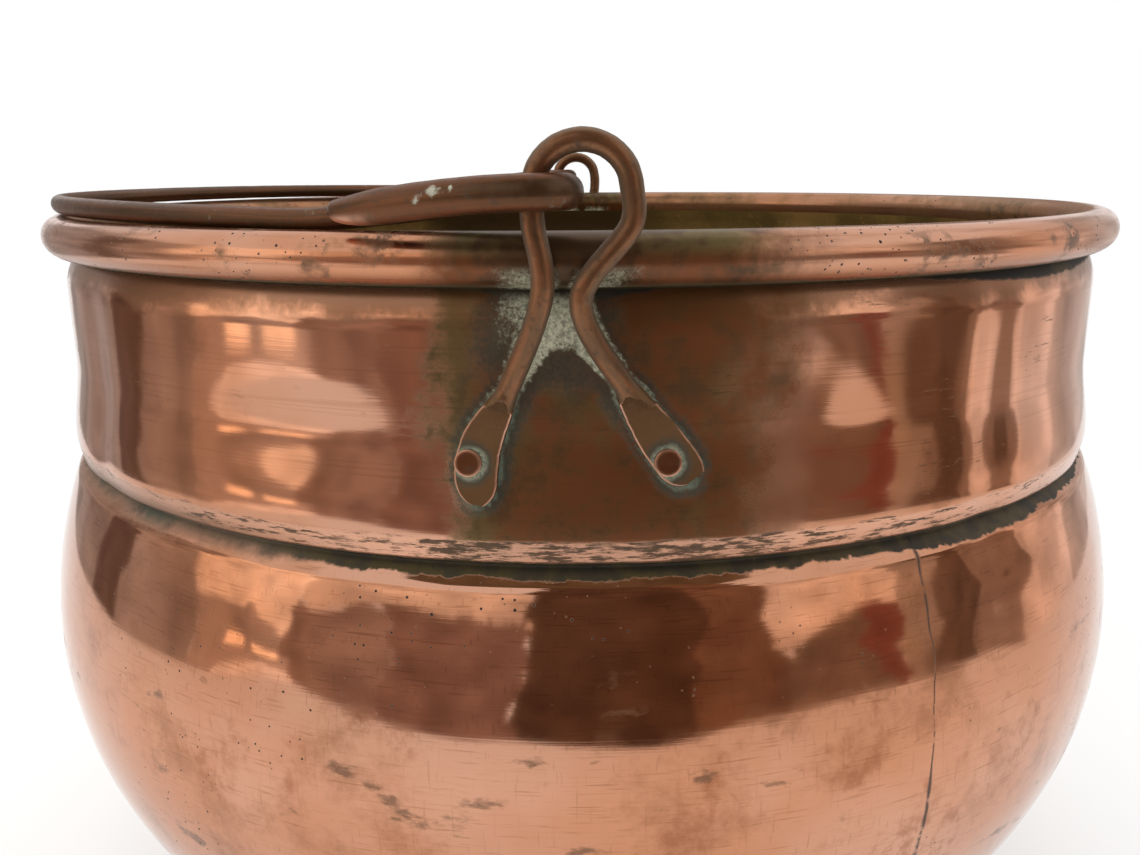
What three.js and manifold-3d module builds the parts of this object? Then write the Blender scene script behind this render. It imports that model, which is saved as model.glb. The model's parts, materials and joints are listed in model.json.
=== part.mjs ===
// Copper cauldron with a bail handle: a wrapped sheet wall whose rim is rolled over an iron wire,
// a dished base lapped into the wall, two omega ears of forged rod that are riveted to the neck,
// and a bail whose hooks swing in the ears.
// Millimetres, +Z up. The origin is on the floor under the middle of the base. The front ear is at -Y,
// and the bail is folded down to -X, on the rim.

import * as THREE from "three";
import { mergeVertices } from "three/addons/utils/BufferGeometryUtils.js";
import Module from "manifold-3d";

const wasm = await Module();
wasm.setup();

// Clearances
const SEAT_GAP = 0.3; // between pieces that touch
const HOOK_PLAY = 0.45; // between a hook and the ear rod that it rides on
const REST_GAP = 0.5; // between the folded bail and the rim

// Vessel: heights are above the floor, drops are below the middle of the roll, radii are of the outside
const SHEET = 1.2;
const RIM_DIAMETER = 310;
const RIM_HEIGHT = 206; // to the middle of the roll
const ROLL_DIAMETER = 10.2;
const ROLL_CLOSE = 112; // degrees past the outermost point at which the rolled edge ends
const ROLL_JOG_DROP = 13; // where the neck starts to draw in behind the wire
const NECK_SETBACK = 4.8; // the neck's outside from the roll's outside
const NECK_FLARE = 2.2;
const FLARE_DROP = 33;
const BAND_DROP = 53.7; // the sharp upper edge of the band under the neck
const BAND_HEIGHT = 6; // down to the bottom of the groove
const BAND_FACE = 4.8; // the height of its upright face, which overhangs the groove
const BAND_DRAW = 0.9; // how far that face draws in towards its foot
const GROOVE_DEPTH = 3.6; // the groove's bottom from the band's upper edge
const SHOULDER_RISE = 3.6; // the belly's shoulder below the groove's bottom
const SHOULDER_STEP = 0.6; // the shoulder's top beyond the band's upper edge
const BELLY_DROP = 108; // the widest place
const BELLY_BULGE = 7.1; // beyond the roll's outside
const FOOT_RADIUS = 72; // the flat of the base
const SEAM_HEIGHT = 28; // the wall's lower edge, where the base laps inside it
const SEAM_LAP = 9;

// Ears: offsets are from the legs' middle line, which leans to the side of the loop
const EAR_ROD_DIAMETER = 4.3;
const EAR_LOOP_RADIUS = 8.75; // of the rod's middle line
const HINGE_RISE = 7.1; // the loop's centre above the rim
const LOOP_SIDE = 5.3; // how far the loop's straight sides reach below its centre
const EAR_LEAN = -3.7;
const EAR_WAIST = 6.75; // between the middle lines of the legs where they almost meet
const PADDLE_DROP = 24; // where the paddles start
const PADDLE_WIDTH = 8.5;
const PADDLE_THICKNESS = 1.8;
const PADDLE_LENGTH = 23; // over which the rod is forged flat
const PADDLE_FULL = 9; // length at the tip that has the full width
const PADDLE_EASE = 1.4; // how soon a paddle widens: 1 is straight
const PADDLE_STEP = 4; // length of the step from the round rod to the flat
const PADDLE_ROUNDING = 4.5; // length of the rounded end
const PADDLE_SQUARENESS = 5; // 2 is an ellipse

// A leg's bow is how far its paddle's middle line bends outward. Its ends are what is left of the paddle's
// half width at the tip, on the side of the other leg and on the outer side.
const LEGS = [
  {
    name: "left", side: -1, waistDrop: 4.5, splay: 10.3, bow: 2, tipOffset: 17.2, tipDrop: 46.1,
    innerEnd: 0.4, outerEnd: 0.45,
  },
  {
    name: "right", side: 1, waistDrop: 6.5, splay: 12, bow: -0.4, tipOffset: 24.1, tipDrop: 41.8,
    innerEnd: 0.3, outerEnd: 0.9,
  },
];

// Rivets
const RIVET_DROP = 38;
const RIVET_SHIFT = -1.6; // both rivets sit left of their paddle's middle line
const RIVET_SHANK_DIAMETER = 3.4;
const RIVET_HEAD_DIAMETER = 5.3;
const RIVET_HEAD_HEIGHT = 0.9;
const RIVET_HEAD_CHAMFER = 0.35;
const RIVET_DOME_DIAMETER = 7.6; // the head inside the wall
const RIVET_DOME_HEIGHT = 1.8;
const RIVET_HOLE_REACH = 10; // how far a hole's cutter stands to each side of the neck's face

// Bail
const BAIL_ROD_DIAMETER = 4.7;
const BAIL_TAPER_LENGTH = 45; // from the hook's stock to the rod
const HOOK_ROD_DIAMETER = 6.6;
const HOOK_REACH = 46; // the tip from the hinge
const HOOK_CURL = 1.65; // how late along its length the hook closes on the rim
const HOOK_TIP_DIAMETER = 5;
const HOOK_TIP_INSET = 1.1; // the tip's middle inward of the roll's outside
const HOOK_TIP_LENGTH = 14; // the tapered end
const HOOK_ROUNDING = 2.5;
const BAIL_PERCH = 30; // degrees from the roll's crown to where the rod lies near the ears
const BAIL_LAY = 70; // degrees round the rim, from the bail's middle, that the rod lies on the roll
const BAIL_LEVEL = 14; // degrees round the rim that it lies on the roll's crown

const HOOK_END = 0.41; // what is left of the rod at the hook's tip

// Facets
const AROUND = 56;
const BELLY_STEPS = 4;
const BASE_STEPS = 4;
const SHOULDER_STEPS = 3;
const JOG_STEPS = 3;
const ROLL_STEPS = 10;
const WIRE_SIDES = 8;
const ROD_SIDES = 10;
const EAR_RINGS = 64;
const BAIL_RINGS = 80;
const RIVET_SIDES = 14;
const DOME_STEPS = 3;
const MERGE_DISTANCE = 1e-3;

// Points on the rods' middle lines, and the length over which a face's slope is measured
const CROWN_STEPS = 6;
const HOOK_STEPS = 5;
const BEND_STEPS = 5;
const LAY_STEPS = 7;
const PADDLE_STEPS = 40;
const SLOPE_LENGTH = 1;

// Places worked out from the sizes
const RIM_RADIUS = RIM_DIAMETER / 2;
const ROLL_RADIUS = ROLL_DIAMETER / 2;
const ROLL_MIDDLE = RIM_RADIUS - ROLL_RADIUS;
const RIM_TOP = RIM_HEIGHT + ROLL_RADIUS;
const NECK_RADIUS = RIM_RADIUS - NECK_SETBACK;
const BAND_RADIUS = NECK_RADIUS + NECK_FLARE;
const FACET_SAG = BAND_RADIUS * (1 - Math.cos(Math.PI / AROUND)); // a flat facet inside the true circle
const BELLY_RADIUS = RIM_RADIUS + BELLY_BULGE;
const BELLY_HEIGHT = RIM_HEIGHT - BELLY_DROP;
const WIRE_RADIUS = ROLL_RADIUS - SHEET - SEAT_GAP;
const EAR_ROD_RADIUS = EAR_ROD_DIAMETER / 2;
const EAR_STAND = RIM_RADIUS + SEAT_GAP + EAR_ROD_RADIUS;
const HINGE_HEIGHT = RIM_TOP + HINGE_RISE;
const HOOK_RADIUS = HOOK_ROD_DIAMETER / 2;
const HOOK_BEND = EAR_ROD_RADIUS + HOOK_PLAY + HOOK_RADIUS;
const BAIL_RADIUS = BAIL_ROD_DIAMETER / 2;
const UP = new THREE.Vector3(0, 0, 1);

const { clamp, degToRad, lerp, smoothstep } = THREE.MathUtils;

const POLISHED_COPPER = new THREE.MeshStandardMaterial({ color: 0xc58a68, metalness: 1, roughness: 0.3 });
const AGED_COPPER = new THREE.MeshStandardMaterial({ color: 0x7d5943, metalness: 1, roughness: 0.5 });
const IRON = new THREE.MeshStandardMaterial({ color: 0x4b4641, metalness: 1, roughness: 0.6 });

// Geometry helpers

// A closed profile of (radius, height) points, turned about the Z axis.
function revolve(profile, segments) {
  return new THREE.LatheGeometry(profile, segments).rotateX(Math.PI / 2);
}

// A capped rod of changing section along a curve. sectionAt(distance, length, point) gives the
// section's half widths to both sides, its half thickness, its squareness (2 is an ellipse) and the
// direction in which the thickness is measured.
function forge(curve, rings, sectionAt) {
  const geometry = new THREE.CylinderGeometry(1, 1, rings, ROD_SIDES, rings);
  const distances = curve.getLengths(rings);
  const places = distances.map((distance, ring) => {
    const middle = curve.getPoint(ring / rings);
    const along = curve.getTangent(ring / rings);
    const section = sectionAt(distance, distances[rings], middle);
    const across = along.clone().cross(section.out).normalize();
    return { ...section, middle, across, out: across.clone().cross(along) };
  });
  const squared = (part, squareness) => {
    const size = Math.abs(part) < MERGE_DISTANCE ? 0 : Math.abs(part); // so that the seam's two edges meet
    return Math.sign(part) * size ** (2 / squareness);
  };
  const positions = geometry.attributes.position;
  for (let i = 0; i < positions.count; i++) {
    const place = places[Math.round(positions.getY(i) + rings / 2)];
    const point = place.middle.clone();
    const halfWidth = place.halfWidths[positions.getX(i) > 0 ? 0 : 1];
    point.addScaledVector(place.across, halfWidth * squared(positions.getX(i), place.squareness));
    point.addScaledVector(place.out, place.halfThickness * squared(positions.getZ(i), place.squareness));
    positions.setXYZ(i, ...point);
  }
  return geometry;
}

// A rounded end: 1 along the rod, falling to a share at the tip over the given length.
function blunted(distance, length, share) {
  const left = Math.max(0, 1 - distance / length);
  return Math.sqrt(1 - (1 - share * share) * left * left);
}

function solidOf(geometry) {
  const bare = new THREE.BufferGeometry().setAttribute("position", geometry.getAttribute("position"));
  const merged = mergeVertices(bare.setIndex(geometry.index), MERGE_DISTANCE);
  const vertProperties = merged.attributes.position.array;
  return new wasm.Manifold(new wasm.Mesh({ numProp: 3, vertProperties, triVerts: merged.index.array }));
}

function cut(geometry, cutters) {
  const left = cutters.reduce((solid, cutter) => solid.subtract(solidOf(cutter)), solidOf(geometry));
  const { vertProperties, triVerts } = left.getMesh();
  const result = new THREE.BufferGeometry();
  result.setAttribute("position", new THREE.BufferAttribute(vertProperties, 3));
  result.setIndex(new THREE.BufferAttribute(triVerts, 1));
  result.computeVertexNormals();
  return result;
}

// Even shares of a whole, from first to last.
function shares(first, last, steps) {
  return Array.from({ length: steps + 1 }, (_, i) => lerp(first, last, i / steps));
}

// A line of (radius, height) points moved sideways by a distance, to its left as it runs.
function offsetLine(points, distance) {
  return points.map((point, i) => {
    const before = points[Math.max(0, i - 1)];
    const after = points[Math.min(points.length - 1, i + 1)];
    const into = point.clone().sub(before).normalize();
    const outOf = after.clone().sub(point).normalize();
    if (i === 0) into.copy(outOf);
    if (i === points.length - 1) outOf.copy(into);
    const along = into.clone().add(outOf).normalize();
    const side = new THREE.Vector2(-along.y, along.x);
    return point.clone().addScaledVector(side, distance / along.dot(into));
  });
}

// Vessel

function neckRadius(drop) {
  return NECK_RADIUS + NECK_FLARE * smoothstep(drop, FLARE_DROP, BAND_DROP);
}

// The lower belly is a quarter of an ellipse, from its widest place (0) down to the flat of the base
// (-90 degrees).
function lowerBelly(angle, inset) {
  const reach = BELLY_RADIUS - FOOT_RADIUS;
  const normal = new THREE.Vector2(Math.cos(angle) / reach, Math.sin(angle) / BELLY_HEIGHT).normalize();
  const place = new THREE.Vector2(
    FOOT_RADIUS + reach * Math.cos(angle),
    BELLY_HEIGHT + BELLY_HEIGHT * Math.sin(angle),
  );
  return place.addScaledVector(normal, -inset);
}

// Millimetres along the lower belly for each radian.
function lowerBellySpeed(angle) {
  return Math.hypot((BELLY_RADIUS - FOOT_RADIUS) * Math.sin(angle), BELLY_HEIGHT * Math.cos(angle));
}

const SEAM_ANGLE = Math.asin(SEAM_HEIGHT / BELLY_HEIGHT - 1);
const SEAM_TURN = 1 / lowerBellySpeed(SEAM_ANGLE); // angle for each millimetre along the belly
const LAP_ANGLE = SEAM_ANGLE + SEAM_LAP * SEAM_TURN;

function arcOfBelly(from, to, steps, inset) {
  return shares(from, to, steps).map((angle) => lowerBelly(angle, inset));
}

// The outside face of the wall, from its lower edge to the end of the rolled edge under the wire.
function wallOutside() {
  const widest = new THREE.Vector2(BELLY_RADIUS, BELLY_HEIGHT);
  const grooveHeight = RIM_HEIGHT - BAND_DROP - BAND_HEIGHT;
  const shoulder = new THREE.Vector2(BAND_RADIUS + SHOULDER_STEP, grooveHeight - SHOULDER_RISE);
  const belly = new THREE.QuadraticBezierCurve(
    widest,
    new THREE.Vector2(BELLY_RADIUS, (BELLY_HEIGHT + shoulder.y) / 2),
    shoulder,
  );
  const groove = new THREE.Vector2(BAND_RADIUS - GROOVE_DEPTH, grooveHeight);
  const bandFoot = new THREE.Vector2(BAND_RADIUS - BAND_DRAW, RIM_HEIGHT - BAND_DROP - BAND_FACE);
  const neckDrops = [BAND_DROP, (BAND_DROP + FLARE_DROP) / 2, FLARE_DROP];
  const neck = neckDrops.map((drop) => new THREE.Vector2(neckRadius(drop), RIM_HEIGHT - drop));
  const wireSide = ROLL_MIDDLE - ROLL_RADIUS + SHEET;
  const jog = new THREE.CubicBezierCurve(
    new THREE.Vector2(NECK_RADIUS, RIM_HEIGHT - ROLL_JOG_DROP),
    new THREE.Vector2(NECK_RADIUS, RIM_HEIGHT - ROLL_JOG_DROP / 2),
    new THREE.Vector2(wireSide, RIM_HEIGHT - ROLL_JOG_DROP / 2),
    new THREE.Vector2(wireSide, RIM_HEIGHT),
  );
  const roll = new THREE.EllipseCurve(
    ROLL_MIDDLE, RIM_HEIGHT, ROLL_RADIUS - SHEET, ROLL_RADIUS - SHEET, Math.PI, -degToRad(ROLL_CLOSE), true,
  );
  return [
    ...arcOfBelly(SEAM_ANGLE, LAP_ANGLE, 1, 0).slice(0, -1),
    ...arcOfBelly(LAP_ANGLE, 0, BELLY_STEPS, 0).slice(0, -1),
    ...belly.getPoints(SHOULDER_STEPS),
    groove,
    bandFoot,
    ...neck,
    ...jog.getPoints(JOG_STEPS).slice(0, -1),
    ...roll.getPoints(ROLL_STEPS),
  ];
}

function wallSheet() {
  const outside = wallOutside();
  const inside = offsetLine(outside, SHEET).reverse();
  return revolve([...outside, ...inside, outside[0]], AROUND);
}

// A dished sheet, joggled in by one sheet above the seam, so that it laps inside the wall and is flush
// with it below.
function basePan() {
  const lapInset = SHEET + SEAT_GAP;
  const joggle = lapInset * SEAM_TURN;
  const flushEdge = SEAM_ANGLE - SEAT_GAP * SEAM_TURN;
  const profile = [
    new THREE.Vector2(0, 0),
    ...arcOfBelly(-Math.PI / 2, flushEdge, BASE_STEPS, 0),
    ...arcOfBelly(flushEdge, LAP_ANGLE, 1, lapInset),
    ...arcOfBelly(LAP_ANGLE, flushEdge + joggle, 1, lapInset + SHEET),
    ...arcOfBelly(flushEdge - joggle, -Math.PI / 2, BASE_STEPS, SHEET),
    new THREE.Vector2(0, SHEET),
  ];
  return revolve(profile, AROUND);
}

function rimWire() {
  return new THREE.TorusGeometry(ROLL_MIDDLE, WIRE_RADIUS, WIRE_SIDES, AROUND);
}

// Ears, made for the front of the vessel

// The outward direction of the neck's face at a place on it.
function neckNormal(place) {
  const drop = RIM_HEIGHT - place.z;
  const widening = neckRadius(drop + SLOPE_LENGTH / 2) - neckRadius(drop - SLOPE_LENGTH / 2);
  const radial = new THREE.Vector3(place.x, place.y, 0).normalize();
  return radial.addScaledVector(UP, widening / SLOPE_LENGTH).normalize();
}

// A point in front of the neck, at a distance from the vessel's axis.
function frontPoint(x, radius, drop) {
  return new THREE.Vector3(x, -Math.sqrt(radius * radius - x * x), RIM_HEIGHT - drop);
}

// A leg's middle line, from the tip of its paddle up to its waist beside the other leg.
function legPoints({ side, waistDrop, splay, bow, tipOffset, tipDrop }) {
  const across = (offset) => EAR_LEAN + side * offset;
  const seat = (drop, halfThickness) => neckRadius(drop) + SEAT_GAP + halfThickness;
  const middleDrop = (PADDLE_DROP + tipDrop) / 2;
  const middleOffset = (splay + tipOffset) / 2 + bow;
  return [
    frontPoint(across(tipOffset), seat(tipDrop, PADDLE_THICKNESS / 2), tipDrop),
    frontPoint(across(middleOffset), seat(middleDrop, PADDLE_THICKNESS / 2), middleDrop),
    frontPoint(across(splay), seat(PADDLE_DROP, EAR_ROD_RADIUS), PADDLE_DROP),
    frontPoint(across(EAR_WAIST / 2), EAR_STAND, waistDrop),
  ];
}

function earLine() {
  const [left, right] = LEGS.map(legPoints);
  const loopPoint = (x, rise) => new THREE.Vector3(x, -EAR_STAND, HINGE_HEIGHT + rise);
  const crown = shares(Math.PI, 0, CROWN_STEPS).map((turn) =>
    loopPoint(EAR_LOOP_RADIUS * Math.cos(turn), EAR_LOOP_RADIUS * Math.sin(turn)),
  );
  const sides = LEGS.map(({ side }) => loopPoint(side * EAR_LOOP_RADIUS, -LOOP_SIDE));
  return new THREE.CatmullRomCurve3([...left, sides[0], ...crown, sides[1], ...right.reverse()]);
}

function earSection(distance, length, place) {
  const { innerEnd, outerEnd } = LEGS[distance < length / 2 ? 0 : 1];
  const fromTip = Math.min(distance, length - distance);
  const narrowed = clamp((fromTip - PADDLE_FULL) / (PADDLE_LENGTH - PADDLE_FULL), 0, 1);
  const halfWidth = lerp(PADDLE_WIDTH / 2, EAR_ROD_RADIUS, narrowed ** PADDLE_EASE);
  const flat = 1 - smoothstep(fromTip, PADDLE_LENGTH - PADDLE_STEP, PADDLE_LENGTH);
  return {
    halfWidths: [innerEnd, outerEnd].map((end) => halfWidth * blunted(fromTip, PADDLE_ROUNDING, end)),
    halfThickness: lerp(EAR_ROD_RADIUS, PADDLE_THICKNESS / 2, flat),
    squareness: lerp(2, PADDLE_SQUARENESS, flat),
    out: neckNormal(place),
  };
}

// Where a leg's rivet meets the outside face of the neck, and the direction that it points.
function rivetPlace(leg) {
  const [tip, middle, start] = legPoints(leg);
  const paddle = new THREE.CatmullRomCurve3([tip, middle, start]).getPoints(PADDLE_STEPS);
  const height = RIM_HEIGHT - RIVET_DROP;
  const nearest = paddle.reduce((a, b) => (Math.abs(a.z - height) < Math.abs(b.z - height) ? a : b));
  const place = frontPoint(nearest.x + RIVET_SHIFT, neckRadius(RIVET_DROP), RIVET_DROP);
  return { place, turn: new THREE.Quaternion().setFromUnitVectors(UP, neckNormal(place)) };
}

function rivetHole(leg) {
  const radius = RIVET_SHANK_DIAMETER / 2 + SEAT_GAP;
  const { place, turn } = rivetPlace(leg);
  const hole = new THREE.CylinderGeometry(radius, radius, 2 * RIVET_HOLE_REACH, RIVET_SIDES);
  return hole.rotateX(Math.PI / 2).applyQuaternion(turn).translate(...place);
}

function ear() {
  return cut(forge(earLine(), EAR_RINGS, earSection), LEGS.map(rivetHole));
}

// A rivet along +Z, with the outside face of the neck at 0: a domed head inside, and a low flat head
// on the paddle.
function rivet() {
  const shank = RIVET_SHANK_DIAMETER / 2;
  const head = RIVET_HEAD_DIAMETER / 2;
  const dome = RIVET_DOME_DIAMETER / 2;
  const domeSeat = -SHEET - SEAT_GAP - FACET_SAG;
  const headSeat = SEAT_GAP + PADDLE_THICKNESS + SEAT_GAP;
  const headTop = headSeat + RIVET_HEAD_HEIGHT;
  const domeFace = new THREE.EllipseCurve(0, domeSeat, dome, RIVET_DOME_HEIGHT, -Math.PI / 2, 0);
  return revolve(
    [
      ...domeFace.getPoints(DOME_STEPS),
      new THREE.Vector2(shank, domeSeat),
      new THREE.Vector2(shank, headSeat),
      new THREE.Vector2(head, headSeat),
      new THREE.Vector2(head, headTop - RIVET_HEAD_CHAMFER),
      new THREE.Vector2(head - RIVET_HEAD_CHAMFER, headTop),
      new THREE.Vector2(0, headTop),
    ],
    RIVET_SIDES,
  );
}

// Bail, made in the folded position

// The front half of the bail's middle line, from the hook's tip round the ear rod and along the roll to
// the middle.
function bailHalf() {
  const tipRadius = HOOK_TIP_DIAMETER / 2;
  const tipY = Math.sqrt((RIM_RADIUS - HOOK_TIP_INSET) ** 2 - HOOK_REACH ** 2);
  const tipZ = RIM_TOP + REST_GAP + tipRadius;
  const nearY = EAR_STAND + HOOK_BEND;
  const nearLeg = shares(1, 0, HOOK_STEPS).slice(0, -1).map((part) => {
    const curled = part ** HOOK_CURL;
    const x = lerp(EAR_LOOP_RADIUS, HOOK_REACH, part);
    return new THREE.Vector3(-x, -lerp(nearY, tipY, curled), lerp(HINGE_HEIGHT, tipZ, curled));
  });
  const bend = shares(Math.PI / 2, -Math.PI / 2, BEND_STEPS).map((turn) => {
    const x = -EAR_LOOP_RADIUS + HOOK_BEND * Math.cos(turn);
    return new THREE.Vector3(x, -EAR_STAND - HOOK_BEND * Math.sin(turn), HINGE_HEIGHT);
  });
  const perchDistance = ROLL_RADIUS + REST_GAP + BAIL_RADIUS;
  const lay = shares(BAIL_LAY, 0, LAY_STEPS).map((angle) => {
    const perch = degToRad(BAIL_PERCH * smoothstep(angle, BAIL_LEVEL, BAIL_LAY));
    const radius = ROLL_MIDDLE - perchDistance * Math.sin(perch);
    const turn = degToRad(angle);
    const z = RIM_HEIGHT + perchDistance * Math.cos(perch);
    return new THREE.Vector3(-radius * Math.cos(turn), -radius * Math.sin(turn), z);
  });
  return [...nearLeg, ...bend, ...lay];
}

function bailLine() {
  const front = bailHalf();
  const back = front.slice(0, -1).map((point) => point.clone().setY(-point.y));
  return new THREE.CatmullRomCurve3([...front, ...back.reverse()]);
}

function bailSection(distance, length) {
  const fromTip = Math.min(distance, length - distance);
  const hookLength = HOOK_REACH - EAR_LOOP_RADIUS + Math.PI * HOOK_BEND;
  const tip = lerp(HOOK_TIP_DIAMETER / 2, HOOK_RADIUS, smoothstep(fromTip, 0, HOOK_TIP_LENGTH));
  const slimming = smoothstep(fromTip, hookLength, hookLength + BAIL_TAPER_LENGTH);
  const radius = lerp(tip, BAIL_RADIUS, slimming) * blunted(fromTip, HOOK_ROUNDING, HOOK_END);
  return { halfWidths: [radius, radius], halfThickness: radius, squareness: 2, out: UP };
}

function bail() {
  return forge(bailLine(), BAIL_RINGS, bailSection);
}

// Assembly

function named(name, geometry, material) {
  const mesh = new THREE.Mesh(geometry, material);
  mesh.name = name;
  return mesh;
}

const EARS = [
  { name: "front", turn: 0 },
  { name: "back", turn: Math.PI },
];

const cauldron = new THREE.Group();

const wallHoles = EARS.flatMap(({ turn }) => LEGS.map((leg) => rivetHole(leg).rotateZ(turn)));
cauldron.add(named("body_wall", cut(wallSheet(), wallHoles), POLISHED_COPPER));
cauldron.add(named("base_pan", basePan(), POLISHED_COPPER));

const wire = named("rim_wire", rimWire(), IRON);
wire.position.z = RIM_HEIGHT;
cauldron.add(wire);

for (const { name, turn } of EARS) {
  const side = new THREE.Group();
  side.rotation.z = turn;
  side.add(named(`${name}_ear`, ear(), AGED_COPPER));
  for (const leg of LEGS) {
    const fixing = named(`${name}_ear_${leg.name}_rivet`, rivet(), AGED_COPPER);
    const seat = rivetPlace(leg);
    fixing.position.copy(seat.place);
    fixing.quaternion.copy(seat.turn);
    side.add(fixing);
  }
  cauldron.add(side);
}

cauldron.add(named("bail", bail(), AGED_COPPER));

export default cauldron;
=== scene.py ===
"""A worn copper cauldron with a bail handle, on a pale floor in soft light."""

import json
import math
from functools import reduce

import bmesh
import bpy
import numpy as np
from mathutils import Matrix, Vector, noise

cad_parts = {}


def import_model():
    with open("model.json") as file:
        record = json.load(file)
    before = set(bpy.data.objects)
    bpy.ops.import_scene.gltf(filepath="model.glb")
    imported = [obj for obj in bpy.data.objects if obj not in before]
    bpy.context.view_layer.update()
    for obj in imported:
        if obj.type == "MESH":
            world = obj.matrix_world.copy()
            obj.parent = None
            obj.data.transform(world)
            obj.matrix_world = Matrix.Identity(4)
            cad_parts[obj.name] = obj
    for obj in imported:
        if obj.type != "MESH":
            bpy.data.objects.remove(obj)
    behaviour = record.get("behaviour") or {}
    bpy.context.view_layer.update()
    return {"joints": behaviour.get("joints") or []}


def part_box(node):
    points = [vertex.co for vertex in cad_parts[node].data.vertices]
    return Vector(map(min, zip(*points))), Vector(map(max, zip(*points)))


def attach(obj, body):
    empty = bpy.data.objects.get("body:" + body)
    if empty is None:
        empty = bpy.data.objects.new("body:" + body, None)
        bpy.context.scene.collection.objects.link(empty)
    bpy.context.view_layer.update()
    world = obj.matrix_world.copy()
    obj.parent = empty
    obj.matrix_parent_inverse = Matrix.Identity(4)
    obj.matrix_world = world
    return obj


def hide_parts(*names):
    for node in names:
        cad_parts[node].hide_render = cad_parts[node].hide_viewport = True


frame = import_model()

# Sizes that the frame gives, in metres
wall_low, wall_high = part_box("body_wall")
wire_low, wire_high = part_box("rim_wire")
ear_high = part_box("front_ear")[1]
bail_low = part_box("bail")[0]
RIM_HEIGHT = (wire_low.z + wire_high.z) / 2
RIM_TOP = wall_high.z
ROLL_RADIUS = RIM_TOP - RIM_HEIGHT
WIRE_RADIUS = (wire_high.z - wire_low.z) / 2
ROLL_MIDDLE = wire_high.x - WIRE_RADIUS
RIM_RADIUS = ROLL_MIDDLE + ROLL_RADIUS
BELLY_RADIUS = wall_high.x
SEAM_HEIGHT = wall_low.z
HINGE_HEIGHT = frame["joints"][0]["pos_m"][2]

# Clearances between pieces
SEAT_GAP = 0.0003
HOOK_PLAY = 0.00045
REST_GAP = 0.0005

# Vessel: drops are below the middle of the roll
SHEET = 0.0012
ROLL_CLOSE = math.radians(112)
ROLL_JOG_DROP = 0.013
NECK_INSET = 0.0048
NECK_RADIUS = RIM_RADIUS - NECK_INSET
NECK_FLARE = 0.0022
FLARE_DROP = 0.033
BAND_DROP = 0.0537
BAND_HEIGHT = 0.006
BAND_FACE = 0.0048
BAND_DRAW = 0.0009
BAND_RADIUS = NECK_RADIUS + NECK_FLARE
GROOVE_DEPTH = 0.0036
SHOULDER_RISE = 0.0036
SHOULDER_STEP = 0.0006
SHOULDER_FILLET = 0.0016
GROOVE_FILLET = 0.0009
BAND_FILLET = 0.0007
LEAST_FILLET = 0.0003
BELLY_DROP = 0.108
BELLY_HEIGHT = RIM_HEIGHT - BELLY_DROP
FOOT_RADIUS = 0.072
SEAM_LAP = 0.009
SEAM_AZIMUTH = math.radians(27)
ROLL_MARGIN = 0.0004
EAR_CROWDING = 0.6
WALL_STEPS = 384
BASE_STEPS = 192
WIRE_STEPS = 160

# Ears: offsets are from the legs' middle line
EAR_ROD_RADIUS = 0.00215
EAR_LOOP_RADIUS = ear_high.z - HINGE_HEIGHT - EAR_ROD_RADIUS
EAR_STAND = RIM_RADIUS + SEAT_GAP + EAR_ROD_RADIUS
LOOP_SIDE = 0.0053
EAR_LEAN = -0.0037
EAR_WAIST = 0.00675
PADDLE_DROP = 0.024
PADDLE_HALF_WIDTH = 0.00425
PADDLE_HALF_THICKNESS = 0.0009
PADDLE_LENGTH = 0.023
PADDLE_FULL = 0.009
PADDLE_EASE = 1.4
PADDLE_EDGE = 0.0003
EDGE_HOLD = 0.00015
SHOULDER_CRESCENT = 0.0022
SHOULDER_STEP_LENGTH = 0.0008
EAR_LINE_STEP = 0.0003
EAR_SIDES = 48
EAR_UNEVENNESS = [(0.04, 420), (0.02, 1300)]
WORN_REACH = 0.0005
LEFT_LEG = {
    "side": -1, "waist_drop": 0.0045, "splay": 0.0103, "bow": 0.002,
    "tip_offset": 0.0172, "tip_drop": 0.0461, "slant": 0.0012,
    "inner_round": 0.004, "inner_end": 0.5, "outer_round": 0.0065, "outer_end": 0.12,
}
RIGHT_LEG = {
    "side": 1, "waist_drop": 0.0065, "splay": 0.012, "bow": -0.0004,
    "tip_offset": 0.0241, "tip_drop": 0.0418, "slant": 0.0036,
    "inner_round": 0.0045, "inner_end": 0.3, "outer_round": 0.004, "outer_end": 0.74,
}

# Rivets
RIVET_SHANK = 0.0017
RIVET_HEAD = 0.00265
RIVET_HEAD_HEIGHT = 0.0009
RIVET_DOME = 0.0038
RIVET_DOME_HEIGHT = 0.0018
FACET_SAG = 0.00024
RIVET_BEVEL = 0.0003
RIVET_BEVEL_DROP = 0.0001
RIVET_EDGE = 0.00012
RIVET_RING = 0.0007
RIVET_STEPS = 48

# Bail
BAIL_ROD_RADIUS = 0.00235
BAIL_TAPER_LENGTH = 0.045
HOOK_ROD_RADIUS = (-bail_low.y - EAR_STAND - EAR_ROD_RADIUS - HOOK_PLAY) / 2
HOOK_BEND = EAR_ROD_RADIUS + HOOK_PLAY + HOOK_ROD_RADIUS
HOOK_REACH = 0.046
HOOK_CURL = 1.65
HOOK_TIP_RADIUS = 0.0025
HOOK_TIP_INSET = 0.0011
HOOK_TIP_LENGTH = 0.014
HOOK_CUT_LENGTH = 0.0085
HOOK_TIP_LIFT = 0.35
HOOK_TIP_ROUND = 0.0016
HOOK_SIDE_ROUND = 0.0038
HOOK_TIP_SHARE = 0.12
BAIL_PERCH = math.radians(30)
BAIL_LAY = math.radians(70)
BAIL_LEVEL = math.radians(14)
BAIL_UNEVENNESS = 0.03
BAIL_LINE_STEP = 0.0008
BAIL_SIDES = 24

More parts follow.
